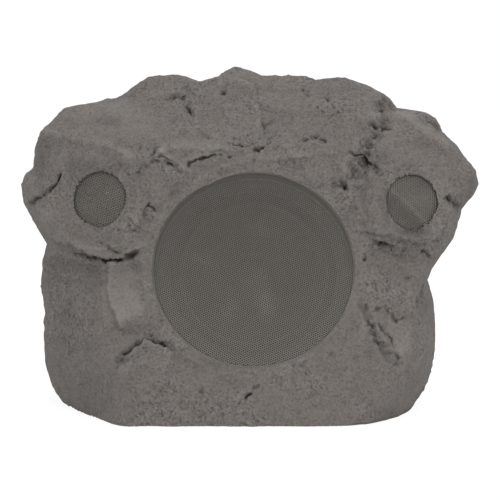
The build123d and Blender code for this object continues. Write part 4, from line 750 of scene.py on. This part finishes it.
def skin_relief(form, normal, pad_mask, column, row):
    """Height of the small relief along the normals, how much painted shade and painted highlight each point
    gets, and how rough it is. The height is layered noise, stronger where the rock is rough, plus the drawn
    relief on the side that the photograph shows."""
    reach = face_reach(form[..., 0], form[..., 2])[:FRONT_ROWS]
    clear = np.ones(form.shape[:2])
    clear[:FRONT_ROWS] = ease((reach - LAND_CLEAR) / LAND_CLEAR_BLEND) * pad_mask
    clear[-1] = 0
    seen = ease((smoothed(normal @ camera_frame()[3], 3) - SEEN_START) / SEEN_BLEND)
    across, down = layered(form, WANDER_ACROSS), layered(form, WANDER_DOWN)
    uneven = 1 + layered(form, UNEVEN_WIDTH)
    broken = np.clip(0.75 + layered(form, UNEVEN_DEPTH), 0, 1.6)
    drawn = photo_relief(column + RELIEF_WANDER * across, row + RELIEF_WANDER * down, uneven, broken)
    wear_and_painted_light, tone = face_wear(column + across, row + down)
    # painted light and painted shade in soft patches, wandering a little
    patch_places = column + PATCH_WANDER * across, row + PATCH_WANDER * down
    tone += sum(oval(*patch_places, *tone_patch) for tone_patch in LIGHT_AND_SHADE_PATCHES)

    # how rough: in broad patches, more towards the top, and where it is drawn
    patches = PATCH_ROUGHNESS * ease(octaves(form, *PATCH_NOISE) / 0.9 + 0.1)
    upper = UPPER_ROUGHNESS * ease((form[..., 2] - UPPER_START) / UPPER_BLEND)
    marked = np.maximum.reduce([oval(column, row, *patch) for patch in ROUGH_PATCHES])
    rough = np.maximum(np.maximum(patches, upper), marked * seen) * (1 - wear_and_painted_light * seen)

    # height: broad swells everywhere, coarse lumps and pits where it is rough, and fine grain
    broad = 0.6 * octaves(form, *SWELL_NOISE) + 0.5 * ridges(form, *SWELL_RIDGES) - 0.25
    coarse = 1.3 * ridges(form, *LUMP_RIDGES) + 0.8 * octaves(form, *LUMP_NOISE)
    pitted = np.clip(grain(form, *PIT_NOISE) - 0.2, 0, 1)
    height = broad + rough * (coarse - 1.2 * pitted) + (0.4 + 0.6 * rough) * layered(form, FINE_RELIEF)
    height = (height + drawn * seen) * clear

    # uneven step down just outside the land
    past = reach - LAND_RADIUS
    step = np.exp(-(((past - STEP_AWAY) / STEP_WIDTH) ** 2)) * ease(past / STEP_BLEND)
    patchy = np.maximum(0.4 + 1.3 * grain(form[:FRONT_ROWS], *STEP_NOISE), 0)
    height[:FRONT_ROWS] -= LAND_STEP * step * patchy

    # tone: painted shade in hollows and in the shade patches, painted highlight on crests, in the light
    # patches and on pale faces
    stands = height - smoothed(smoothed(height, 4), 4)
    hollow = np.clip(-stands / HOLLOW_DEPTH, 0, HOLLOW_MOST) + np.clip(-tone, 0, 1) * SHADE_PATCH_DIMNESS * seen
    pale = np.clip(stands / CREST_HEIGHT, 0, CREST_MOST) + np.clip(tone, 0, 1) * seen
    return height, hollow, pale, rough


def cut_tweeter_pocket(skin, side, column, row):
    """Cuts a tweeter's round pocket into the front of the skin and draws the rock in over the rim."""
    middle, aside, upright, out = tweeter_frame(side)
    local = skin - middle
    a, b, t = local @ aside, local @ upright, local @ out
    apart = np.hypot(a, b)
    near = (apart < TWEETER_POCKET_RADIUS + TWEETER_LIP_RUN) & (np.abs(t) < TWEETER_NEAR)
    border = snapped(apart - TWEETER_POCKET_RADIUS, TWEETER_SNAP)
    lip = TWEETER_RIM_COVER + lips(column, row, TWEETER_LIPS[side])
    lip *= ease(1 - border / TWEETER_LIP_RUN) * (border > 0)
    scale = np.where(near, (TWEETER_POCKET_RADIUS + border - lip) / np.maximum(apart, TINY), 1)
    bottom = -TWEETER_GRILLE_SINK - TWEETER_GRILLE_SKIRT - TWEETER_GAP
    t = np.where(near & (border < 0), bottom, t + TWEETER_LIP_LIFT * lip * near)
    moved = middle + (a * scale)[..., None] * aside + (b * scale)[..., None] * upright + t[..., None] * out
    skin[:] = np.where(near[..., None], moved, skin)


def cut_base_pocket(skin):
    """Lays the underside flat and sinks the base plate's pocket into it."""
    under = under_floor(skin)
    distance, nx, ny = rounded_rectangle(skin[..., 0], skin[..., 1])
    shift = np.where(under, snapped(distance, BASE_SNAP) - distance, 0)
    skin[..., 0] += shift * nx
    skin[..., 1] += shift * ny
    skin[..., 2] = np.where(under & (distance + shift < 0), BASE_POCKET_DEPTH, skin[..., 2])


def cut_gland_pocket(skin):
    """Sinks the cable gland's round pocket into the back of the skin."""
    gx, gz = GLAND_PLACE
    apart = np.hypot(skin[..., 0] - gx, skin[..., 2] - gz)
    near = (apart < GLAND_POCKET_RADIUS + GLAND_NEAR) & (skin[..., 1] > 0)
    border = snapped(apart - GLAND_POCKET_RADIUS, GLAND_SNAP)
    scale = np.where(near, (GLAND_POCKET_RADIUS + border) / np.maximum(apart, TINY), 1)
    skin[..., 0] = gx + (skin[..., 0] - gx) * scale
    skin[..., 2] = gz + (skin[..., 2] - gz) * scale
    skin[..., 1] = np.where(near & (border < 0), GLAND_FLOOR_Y, skin[..., 1])


def woofer_recess():
    """Turned recess of the woofer from its cut-out up to the land, with rock grown over the rim."""
    axes = woofer_frame()
    seat = -GRILLE_SINK - GRILLE_SKIRT
    profile = [
        (CUTOUT_RADIUS, -WOOFER_SINK - LEDGE_THICKNESS), (CUTOUT_RADIUS, -WOOFER_SINK),
        (LOWER_POCKET_RADIUS, -WOOFER_SINK), (LOWER_POCKET_RADIUS, seat), (POCKET_RADIUS, seat),
        (POCKET_RADIUS, -1.6), (GRILLE_RADIUS + 0.1, -0.9), (GRILLE_RADIUS + 0.5, -0.2),
        (GRILLE_RADIUS + 1.4, 0),
    ]
    rings, outwards = turned(profile, axes, TURNS)
    edge = rings[-3:]
    cover = np.clip(0.6 * octaves(edge, *RIM_NOISE) - 0.1, 0, 0.8)
    cover += lips(*photo_pixels(edge), WOOFER_LIPS)
    edge += cover[..., None] * (WOOFER_LIP_LIFT * axes[3] - outwards)
    return rings


def rock_skin():
    """Skin of the rock: its form moved along the normals by the small relief, with the pockets cut in and the
    woofer's recess joined on."""
    form, pad_mask = rock_form()
    normal = grid_normals(form)
    column, row = photo_pixels(form)
    height, hollow, pale, rough = skin_relief(form, normal, pad_mask, column, row)
    skin = form + normal * height[..., None]
    for side in TWEETER_PLACES:
        cut_tweeter_pocket(skin[:FRONT_ROWS], side, column[:FRONT_ROWS], row[:FRONT_ROWS])
    cut_base_pocket(skin)
    cut_gland_pocket(skin[FRONT_ROWS:])
    rings = woofer_recess()
    piece = grid_mesh("rock_skin", np.concatenate([rings, skin]))
    # painted shade, paleness for painted highlights, and roughness, kept on the points
    for name, values, in_recess in (("hollow", hollow, 0.0), ("pale", pale, 0.0), ("rough", rough, 0.2)):
        keep_values(piece, name, np.concatenate([np.full(rings.shape[:2], in_recess), values]))
    weld_last_row(piece.data, TURNS)
    piece.data.set_sharp_from_angle(angle=SHARP_ROCK)
    return piece


# Perforated grilles


def perforated_sheet(name, axes, edge, crown, sink, sheet, pitch, folds_and_glints):
    """Domed sheet with six-sided holes: cells of a honeycomb turned by HOLE_TURN, each a hole in a six-sided
    web. They lie on the cap t = crown (1 - (r/edge)^2) - sink, the hole walls go back by the sheet, and cells
    at the rim are drawn in to the edge. Folds are ridges rise exp(-d/width) along drawn paths, nil at the
    rim. Painted glints and highlights exp(-(d/width)^2) along the drawn paths add up to a kept value, and to
    painted shade where they are below nought. Painted shade also lies along the upper edge, as
    exp(-(edge - r)/run)."""
    middle, aside, upright, out = axes
    count = int(1.2 * edge / pitch) + 2
    steps = np.arange(-count, count + 1)
    i, j = np.meshgrid(steps, steps, indexing="ij")
    centre = np.stack([pitch * (i + (j % 2) / 2), pitch * math.sqrt(3) / 2 * j], axis=-1).reshape(-1, 2)
    centre = centre[np.hypot(centre[:, 0], centre[:, 1]) < edge - PLAIN_RIM * pitch]
    web = pitch / math.sqrt(3)
    corner = np.radians(30 + 60 * np.arange(6))
    ring = np.stack([np.cos(corner), np.sin(corner)], axis=-1)
    cells = centre[:, None, None] + web * np.array([1, HOLE_SHARE, HOLE_SHARE])[:, None, None] * ring
    cosine, sine = math.cos(HOLE_TURN), math.sin(HOLE_TURN)
    cells = cells @ np.array([[cosine, sine], [-sine, cosine]])
    reach = np.hypot(cells[..., 0], cells[..., 1])
    cells *= np.minimum(1, edge / np.maximum(reach, TINY))[..., None]
    reach = np.minimum(reach, edge)
    back = np.array([0, 0, sheet])[:, None]
    rise = crown * (1 - (reach / edge) ** 2) - sink - back
    points = middle + cells[..., :1] * aside + cells[..., 1:] * upright + rise[..., None] * out
    column, row = photo_pixels(points)
    wear_and_painted_light = np.zeros(reach.shape)
    for path, width, ridge, pale in folds_and_glints:
        away = stroke_distance(column, row, path)[0]
        points += (ridge * np.exp(-away / width) * (1 - (reach / edge) ** 4))[..., None] * out
        wear_and_painted_light += pale * np.exp(-((away / width) ** 2))
    index = np.arange(rise.size).reshape(rise.shape)
    following = np.roll(index, -1, axis=2)
    faces = np.concatenate([
        np.stack([index[:, k], following[:, k], following[:, k + 1], index[:, k + 1]], axis=-1).reshape(-1, 4)
        for k in (0, 1)
    ])
    piece = mesh_of(name, points.reshape(-1, 3), faces)
    # painted shade along the upper edge, where the rock's lip shades the sheet
    painted_sheet_shade = EDGE_SHADE * np.exp((reach - edge) / EDGE_SHADE_RUN) * ease(0.6 + cells[..., 1] / edge)
    keep_values(piece, "wear_and_painted_light", wear_and_painted_light)
    keep_values(piece, "painted_sheet_shade", painted_sheet_shade - np.minimum(wear_and_painted_light, 0))
    piece.data.set_sharp_from_angle(angle=SHARP_SHEET)
    return piece


def grille(name, axes, radius, crown, sink, skirt, sheet, pitch, folds_and_glints):
    """A perforated sheet and its plain rim and skirt, joined into one piece."""
    edge = radius - 0.5 * sheet
    field = perforated_sheet(name, axes, edge, crown, sink, sheet, pitch, folds_and_glints)
    inner = edge - PLAIN_RIM * pitch
    fall = crown * (1 - (inner / edge) ** 2) - sink
    foot = -sink - skirt
    profile = [
        (inner, fall - 0.1), (edge, -sink - 0.1), (radius - 0.1 * sheet, -sink - 0.3 * sheet),
        (radius, -sink - sheet), (radius, foot), (radius - sheet, foot),
        (radius - sheet, -sink - 1.2 * sheet), (inner, fall - sheet), (inner, fall - 0.1),
    ]
    rim = grid_mesh(name + "_rim", turned(profile, axes, RIM_STEPS)[0])
    rim.data.set_sharp_from_angle(angle=SHARP_RIM)
    with bpy.context.temp_override(active_object=field, selected_editable_objects=[field, rim]):
        bpy.ops.object.join()
    return field


# Finishes, in screen colours from 0 to 255

# For the stone, the tone mixed in by paleness is painted highlight on crests and lit faces, and the darkest
# tone is painted shade in hollows and under overhangs.
STONE = {
    "dim": (96, 91, 87), "light": (107, 102, 98), "sand": (142, 136, 132), "pit": (72, 68, 65),
    "painted_light": (148, 143, 138), "hollow": (48, 45, 43),
}
# The sheets' paler tone is for painted glints and painted light on the lower part, and their darkest tone is
# painted shade.
PAINT = {"dim": (101, 97, 91), "light": (106, 101, 95), "painted_light": (138, 132, 125), "painted_sheet_shade": (45, 43, 40)}
SHEET_LIGHT_FOOT, SHEET_LIGHT_TOP = 0.05, 0.26  # heights in metres between which the painted light that makes the sheets paler towards the ground gets less
SHEET_LIGHT_MOST = 0.58

# Made finishes: lighter and darker tone, roughness, grains to the metre, relief in millimetres, metal share
MADE = {
    "base_plastic": ((48, 48, 48), (38, 38, 38), 0.6, 1500, 0.08),
    "gasket_foam": ((40, 40, 40), (28, 28, 28), 0.9, 1200, 0.2),
    "black_screw": ((44, 44, 44), (34, 34, 34), 0.45, 2500, 0.02),
    "gland_plastic": ((44, 44, 45), (36, 36, 37), 0.55, 2000, 0.05),
    "seal_rubber": ((40, 40, 42), (30, 30, 31), 0.75, 1500, 0.06),
    "basket_paint": ((40, 40, 40), (30, 30, 30), 0.4, 2500, 0.04),
    "cone_poly": ((42, 41, 40), (38, 37, 36), 0.35, 800, 0.04),
    "surround_rubber": ((40, 40, 40), (30, 30, 30), 0.5, 2000, 0.04),
    "former_film": ((196, 160, 96), (176, 138, 76), 0.35, 2500, 0.02, 1.0),
    "copper_wire": ((196, 116, 70), (168, 92, 52), 0.35, 3000, 0.1, 1.0),
    "spider_cloth": ((196, 156, 88), (170, 128, 64), 0.85, 2200, 0.2),
    "plated_iron": ((184, 184, 178), (160, 160, 154), 0.4, 2500, 0.02, 1.0),
    "ferrite": ((52, 52, 54), (40, 40, 42), 0.6, 1500, 0.12),
    "terminal_fibre": ((140, 110, 74), (120, 92, 60), 0.6, 1500, 0.06),
    "faceplate_plastic": ((38, 38, 38), (30, 30, 30), 0.45, 2500, 0.04),
    "dome_cloth": ((54, 54, 58), (42, 42, 46), 0.5, 3500, 0.06),
    "board_fibre": ((66, 112, 70), (52, 96, 58), 0.4, 1500, 0.03),
    "capacitor_film": ((202, 166, 54), (186, 150, 42), 0.25, 1200, 0.02),
    "resistor_cement": ((222, 218, 210), (204, 200, 190), 0.85, 1500, 0.15),
    "block_plastic": ((58, 62, 62), (48, 52, 52), 0.5, 2000, 0.04),
    "lead_jacket": ((46, 46, 46), (36, 36, 36), 0.5, 2000, 0.05),
}


def colour(screen):
    """Linear colour of a screen colour given from 0 to 255."""
    screen = np.array(screen) / 255
    linear = np.where(screen <= 0.04045, screen / 12.92, ((screen + 0.055) / 1.055) ** 2.4)
    return (*linear.tolist(), 1.0)


class Nodes:
    """Short hand for building a node tree."""

    def __init__(self, tree):
        self.tree = tree

    def feed(self, socket, value):
        """Links an output to a socket, or sets a constant on it."""
        if isinstance(value, bpy.types.NodeSocket):
            self.tree.links.new(value, socket)
        else:
            socket.default_value = value

    def add(self, kind, inputs=None, **settings):
        node = self.tree.nodes.new(kind)
        for key, value in settings.items():
            setattr(node, key, value)
        for key, value in (inputs or {}).items():
            self.feed(node.inputs[key], value)
        return node

    def noise(self, vector, scale, detail=3.0, roughness=0.55):
        inputs = {"Vector": vector, "Scale": scale, "Detail": detail, "Roughness": roughness}
        return self.add("ShaderNodeTexNoise", inputs).outputs["Fac"]

    def span(self, value, low, high, to_low=0.0, to_high=1.0):
        inputs = {"Value": value, "From Min": low, "From Max": high, "To Min": to_low, "To Max": to_high}
        return self.add("ShaderNodeMapRange", inputs, interpolation_type="SMOOTHSTEP").outputs["Result"]

    def math(self, operation, first, second):
        return self.add("ShaderNodeMath", {0: first, 1: second}, operation=operation).outputs[0]

    def mix(self, factor, first, second):
        return self.add("ShaderNodeMix", {"Factor": factor, 6: first, 7: second}, data_type="RGBA").outputs[2]

    def kept(self, name):
        """A value stored on the points of the piece."""
        return self.add("ShaderNodeAttribute", attribute_name=name).outputs["Fac"]

    def place(self):
        return self.add("ShaderNodeTexCoord").outputs["Object"]

    def bump(self, height, strength, distance):
        inputs = {"Height": height, "Strength": strength, "Distance": distance * MM}
        return self.add("ShaderNodeBump", inputs).outputs["Normal"]

    def seen(self):
        """1 for what the camera and reflections see, 0 for light on other things."""
        path = self.add("ShaderNodeLightPath")
        return self.math("MAXIMUM", path.outputs["Is Camera Ray"], path.outputs["Is Glossy Ray"])


def group(name, inputs, outputs):
    """Empty shader group with named sockets; returns its nodes, its input node and its output node."""
    tree = bpy.data.node_groups.new(name, "ShaderNodeTree")
    for kind, sockets in (("INPUT", inputs), ("OUTPUT", outputs)):
        for socket, form in sockets.items():
            tree.interface.new_socket(socket, in_out=kind, socket_type="NodeSocket" + form)
    nodes = Nodes(tree)
    return nodes, nodes.add("NodeGroupInput"), nodes.add("NodeGroupOutput")


def stone_wear_group():
    """Weathered stone: masks of broad mottling, sandy grain and small pits, and their height."""
    outputs = dict.fromkeys(("Mottle", "Grain", "Pits", "Height"), "Float")
    nodes, source, target = group("stone_wear", {"Vector": "Vector"}, outputs)
    place = source.outputs["Vector"]
    broad = nodes.noise(place, 16, 4, 0.6)
    patch = nodes.noise(place, 90, 4, 0.6)
    sand = nodes.noise(place, 420, 3, 0.75)
    pocks = nodes.noise(place, 300, 2, 0.5)
    pit = nodes.span(pocks, 0.56, 0.7)
    mottle = nodes.math("ADD", nodes.math("MULTIPLY", broad, 0.45), nodes.math("MULTIPLY", patch, 0.55))
    rise = nodes.math("ADD", nodes.math("MULTIPLY", sand, 0.9), nodes.math("MULTIPLY", patch, 0.6))
    nodes.feed(target.inputs["Mottle"], nodes.span(mottle, 0.36, 0.64))
    nodes.feed(target.inputs["Grain"], nodes.span(sand, 0.3, 0.7))
    nodes.feed(target.inputs["Pits"], pit)
    nodes.feed(target.inputs["Height"], nodes.math("SUBTRACT", rise, nodes.math("MULTIPLY", pit, 0.5)))
    return nodes.tree


def fine_grain_group():
    """Fine grain for made parts: a mask of faint blotches and a height of small specks."""
    outputs = {"Blotch": "Float", "Height": "Float"}
    nodes, source, target = group("fine_grain", {"Vector": "Vector", "Scale": "Float"}, outputs)
    inputs = {0: source.outputs["Vector"], "Scale": source.outputs["Scale"]}
    scaled = nodes.add("ShaderNodeVectorMath", inputs, operation="SCALE").outputs[0]
    nodes.feed(target.inputs["Blotch"], nodes.span(nodes.noise(scaled, 0.12, 4), 0.35, 0.65))
    nodes.feed(target.inputs["Height"], nodes.noise(scaled, 1.0, 2))
    return nodes.tree


def new_material(name):
    """Empty material; returns it, its nodes and the sockets of its shader."""
    material = bpy.data.materials.new(name)
    material.use_nodes = True
    return material, Nodes(material.node_tree), material.node_tree.nodes["Principled BSDF"].inputs


def stone_material(wear):
    """Cast stone: warm grey, mottled, darker in pits, with painted shade in hollows and under overhangs,
    painted highlights on crests and lit faces, and a sandy relief.
    """
    material, nodes, shader = new_material("weathered_stone")
    tone = {name: colour(screen) for name, screen in STONE.items()}
    wear_and_painted_light = nodes.add("ShaderNodeGroup", node_tree=wear)
    nodes.feed(wear_and_painted_light.inputs["Vector"], nodes.place())
    rough = nodes.kept("rough")
    ground = nodes.mix(wear_and_painted_light.outputs["Mottle"], tone["dim"], tone["light"])
    grainy = nodes.math("MULTIPLY", wear_and_painted_light.outputs["Grain"], nodes.span(rough, 0, 1, 0.5, 1.0))
    sandy = nodes.mix(grainy, ground, tone["sand"])
    pocked = nodes.math("MULTIPLY", wear_and_painted_light.outputs["Pits"], nodes.span(rough, 0, 1, 0.15, 0.55))
    pitted = nodes.mix(pocked, sandy, tone["pit"])
    # painted highlights from the kept paleness, then painted shade from the kept hollow values
    lightened = nodes.mix(nodes.kept("pale"), pitted, tone["painted_light"])
    nodes.feed(shader["Base Color"], nodes.mix(nodes.kept("hollow"), lightened, tone["hollow"]))
    nodes.feed(shader["Roughness"], 0.92)
    nodes.feed(shader["Specular IOR Level"], 0.25)
    nodes.feed(shader["Normal"], nodes.bump(wear_and_painted_light.outputs["Height"], nodes.span(rough, 0, 1, 0.7, 1.0), 3.2))
    return material


def plain_material(name, grain_tree, light, dark, roughness, scale, relief, metallic=0.0):
    """A made finish: two near tones in faint blotches, a grained relief and a varied roughness."""
    material, nodes, shader = new_material(name)
    fine = nodes.add("ShaderNodeGroup", node_tree=grain_tree)
    nodes.feed(fine.inputs["Scale"], scale)
    nodes.feed(fine.inputs["Vector"], nodes.place())
    blotch = fine.outputs["Blotch"]
    nodes.feed(shader["Base Color"], nodes.mix(blotch, colour(dark), colour(light)))
    nodes.feed(shader["Roughness"], nodes.span(blotch, 0, 1, roughness - 0.06, roughness + 0.06))
    nodes.feed(shader["Metallic"], metallic)
    nodes.feed(shader["Normal"], nodes.bump(fine.outputs["Height"], 0.5, relief))
    return material


def mesh_material(grain_tree):
    """Paint of the perforated sheets: a dull warm grey, made paler towards the ground by painted light, with
    painted glints and painted shade.
    """
    material, nodes, shader = new_material("grille_paint")
    tone = {name: colour(screen) for name, screen in PAINT.items()}
    place = nodes.place()
    fine = nodes.add("ShaderNodeGroup", node_tree=grain_tree)
    nodes.feed(fine.inputs["Scale"], 900)
    nodes.feed(fine.inputs["Vector"], place)
    height = nodes.add("ShaderNodeSeparateXYZ", {0: place}).outputs["Z"]
    paint = nodes.mix(fine.outputs["Blotch"], tone["dim"], tone["light"])
    # painted glints and highlights, and painted light that makes the lower part paler
    painted_light = nodes.math("ADD", nodes.kept("wear_and_painted_light"), nodes.span(height, SHEET_LIGHT_FOOT, SHEET_LIGHT_TOP, SHEET_LIGHT_MOST, 0.0))
    lightened = nodes.mix(painted_light, paint, tone["painted_light"])
    # painted shade along the upper edges and below folds
    nodes.feed(shader["Base Color"], nodes.mix(nodes.kept("painted_sheet_shade"), lightened, tone["painted_sheet_shade"]))
    nodes.feed(shader["Roughness"], 0.7)
    return material


stone_wear = stone_wear_group()
fine_grain = fine_grain_group()
FINISHES = {"rock": stone_material(stone_wear), "grille_paint": mesh_material(fine_grain)}
for name, values in MADE.items():
    FINISHES[name] = plain_material(name, fine_grain, *values)


def dress(piece, finish):
    """Gives a piece its finish."""
    piece.data.materials.clear()
    piece.data.materials.append(FINISHES[finish])


# The pieces

rock = rock_skin()
dress(rock, "rock")
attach(rock, "enclosure")
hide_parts("rock_shell")

large = (GRILLE_RADIUS, GRILLE_CROWN, GRILLE_SINK, GRILLE_SKIRT, GRILLE_SHEET, HOLE_PITCH)
small = (
    TWEETER_GRILLE_RADIUS, TWEETER_GRILLE_CROWN, TWEETER_GRILLE_SINK, TWEETER_GRILLE_SKIRT,
    TWEETER_GRILLE_SHEET, TWEETER_HOLE_PITCH,
)
grilles = {"woofer_grille": grille("woofer_mesh", woofer_frame(), *large, FOLDS_AND_GLINTS["woofer"])}
for side in TWEETER_PLACES:
    sheet = grille(f"tweeter_{side}_mesh", tweeter_frame(side), *small, FOLDS_AND_GLINTS[side])
    grilles[f"tweeter_{side}_grille"] = sheet
for node, piece in grilles.items():
    dress(piece, "grille_paint")
    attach(piece, "enclosure")
    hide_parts(node)

for part in frame["record"]["subparts"]:
    solid = frame["nodes"][part["node"]]
    for place in solid.material_slots:
        place.material = FINISHES[part["material_slot"]]


# Stage, in metres and watts

FLOOR_HALF = 9
FLOOR_DROP = 0.0005
FLOOR_GLOW = 1.1
FLOOR_GLOW_SHARE = 0.82
SKY_LIGHT = 0.69
SOFTBOXES = [
    # name, place, point aimed at, side, power
    ("key", (0.9, -1.7, 1.6), (0, 0, 0.2), 1.6, 18),
    ("fill", (-1.3, -2.0, 0.7), (0, 0, 0.15), 1.8, 9),
    ("back", (0.1, 1.3, 2.0), (0, 0, 0.2), 1.6, 17),
]


def floor_material():
    """White studio floor that stays near white to the camera and keeps a faint shadow."""
    material, nodes, shader = new_material("studio_floor")
    nodes.feed(shader["Base Color"], (0.9, 0.9, 0.9, 1))
    nodes.feed(shader["Roughness"], 0.9)
    parts = material.node_tree.nodes
    glow = nodes.add("ShaderNodeEmission", {"Color": (1, 1, 1, 1), "Strength": FLOOR_GLOW})
    inputs = {
        "Fac": nodes.math("MULTIPLY", nodes.seen(), FLOOR_GLOW_SHARE),
        1: parts["Principled BSDF"].outputs["BSDF"],
        2: glow.outputs["Emission"],
    }
    both = nodes.add("ShaderNodeMixShader", inputs)
    nodes.feed(parts["Material Output"].inputs["Surface"], both.outputs["Shader"])
    return material


def floor():
    """Wide flat sheet under the rock."""
    corners = [(x, y, -FLOOR_DROP) for x, y in ((-1, -1), (1, -1), (1, 1), (-1, 1))]
    points = np.array(corners) * [FLOOR_HALF, FLOOR_HALF, 1] / MM
    sheet = mesh_of("studio_floor", points, np.array([[0, 1, 2, 3]]))
    sheet.data.materials.append(floor_material())


def world():
    """White to the camera and in reflections, and a soft even light elsewhere."""
    sky = bpy.data.worlds.new("studio")
    bpy.context.scene.world = sky
    sky.use_nodes = True
    nodes = Nodes(sky.node_tree)
    ground = sky.node_tree.nodes["Background"].inputs
    nodes.feed(ground["Strength"], nodes.span(nodes.seen(), 0, 1, SKY_LIGHT, 1.0))
    nodes.feed(ground["Color"], (1, 1, 1, 1))


def softbox(name, place, target, size, power):
    """Square area lamp aimed at a point."""
    lamp = bpy.data.lights.new(name, "AREA")
    lamp.shape = "SQUARE"
    lamp.size = size
    lamp.energy = power
    holder = bpy.data.objects.new(name, lamp)
    bpy.context.collection.objects.link(holder)
    holder.location = place
    away = np.array(place) - np.array(target)
    flat = math.hypot(away[0], away[1])
    holder.rotation_euler = (math.atan2(flat, away[2]), 0, math.atan2(away[1], away[0]) + math.pi / 2)


def camera():
    """Camera at the photograph's angle: a long lens looking along +Y, a little down."""
    lens = bpy.data.cameras.new("photo_camera")
    lens.sensor_width = SENSOR
    lens.lens = FOCAL_PIXELS / IMAGE_PIXELS * SENSOR
    lens.clip_end = 100
    holder = bpy.data.objects.new("photo_camera", lens)
    bpy.context.collection.objects.link(holder)
    holder.location = camera_frame()[0] * MM
    holder.rotation_euler = (math.pi / 2 - CAMERA_ELEVATION, 0, 0)
    bpy.context.scene.camera = holder


floor()
world()
for lamp in SOFTBOXES:
    softbox(*lamp)
camera()
bpy.context.scene.view_settings.view_transform = "Standard"
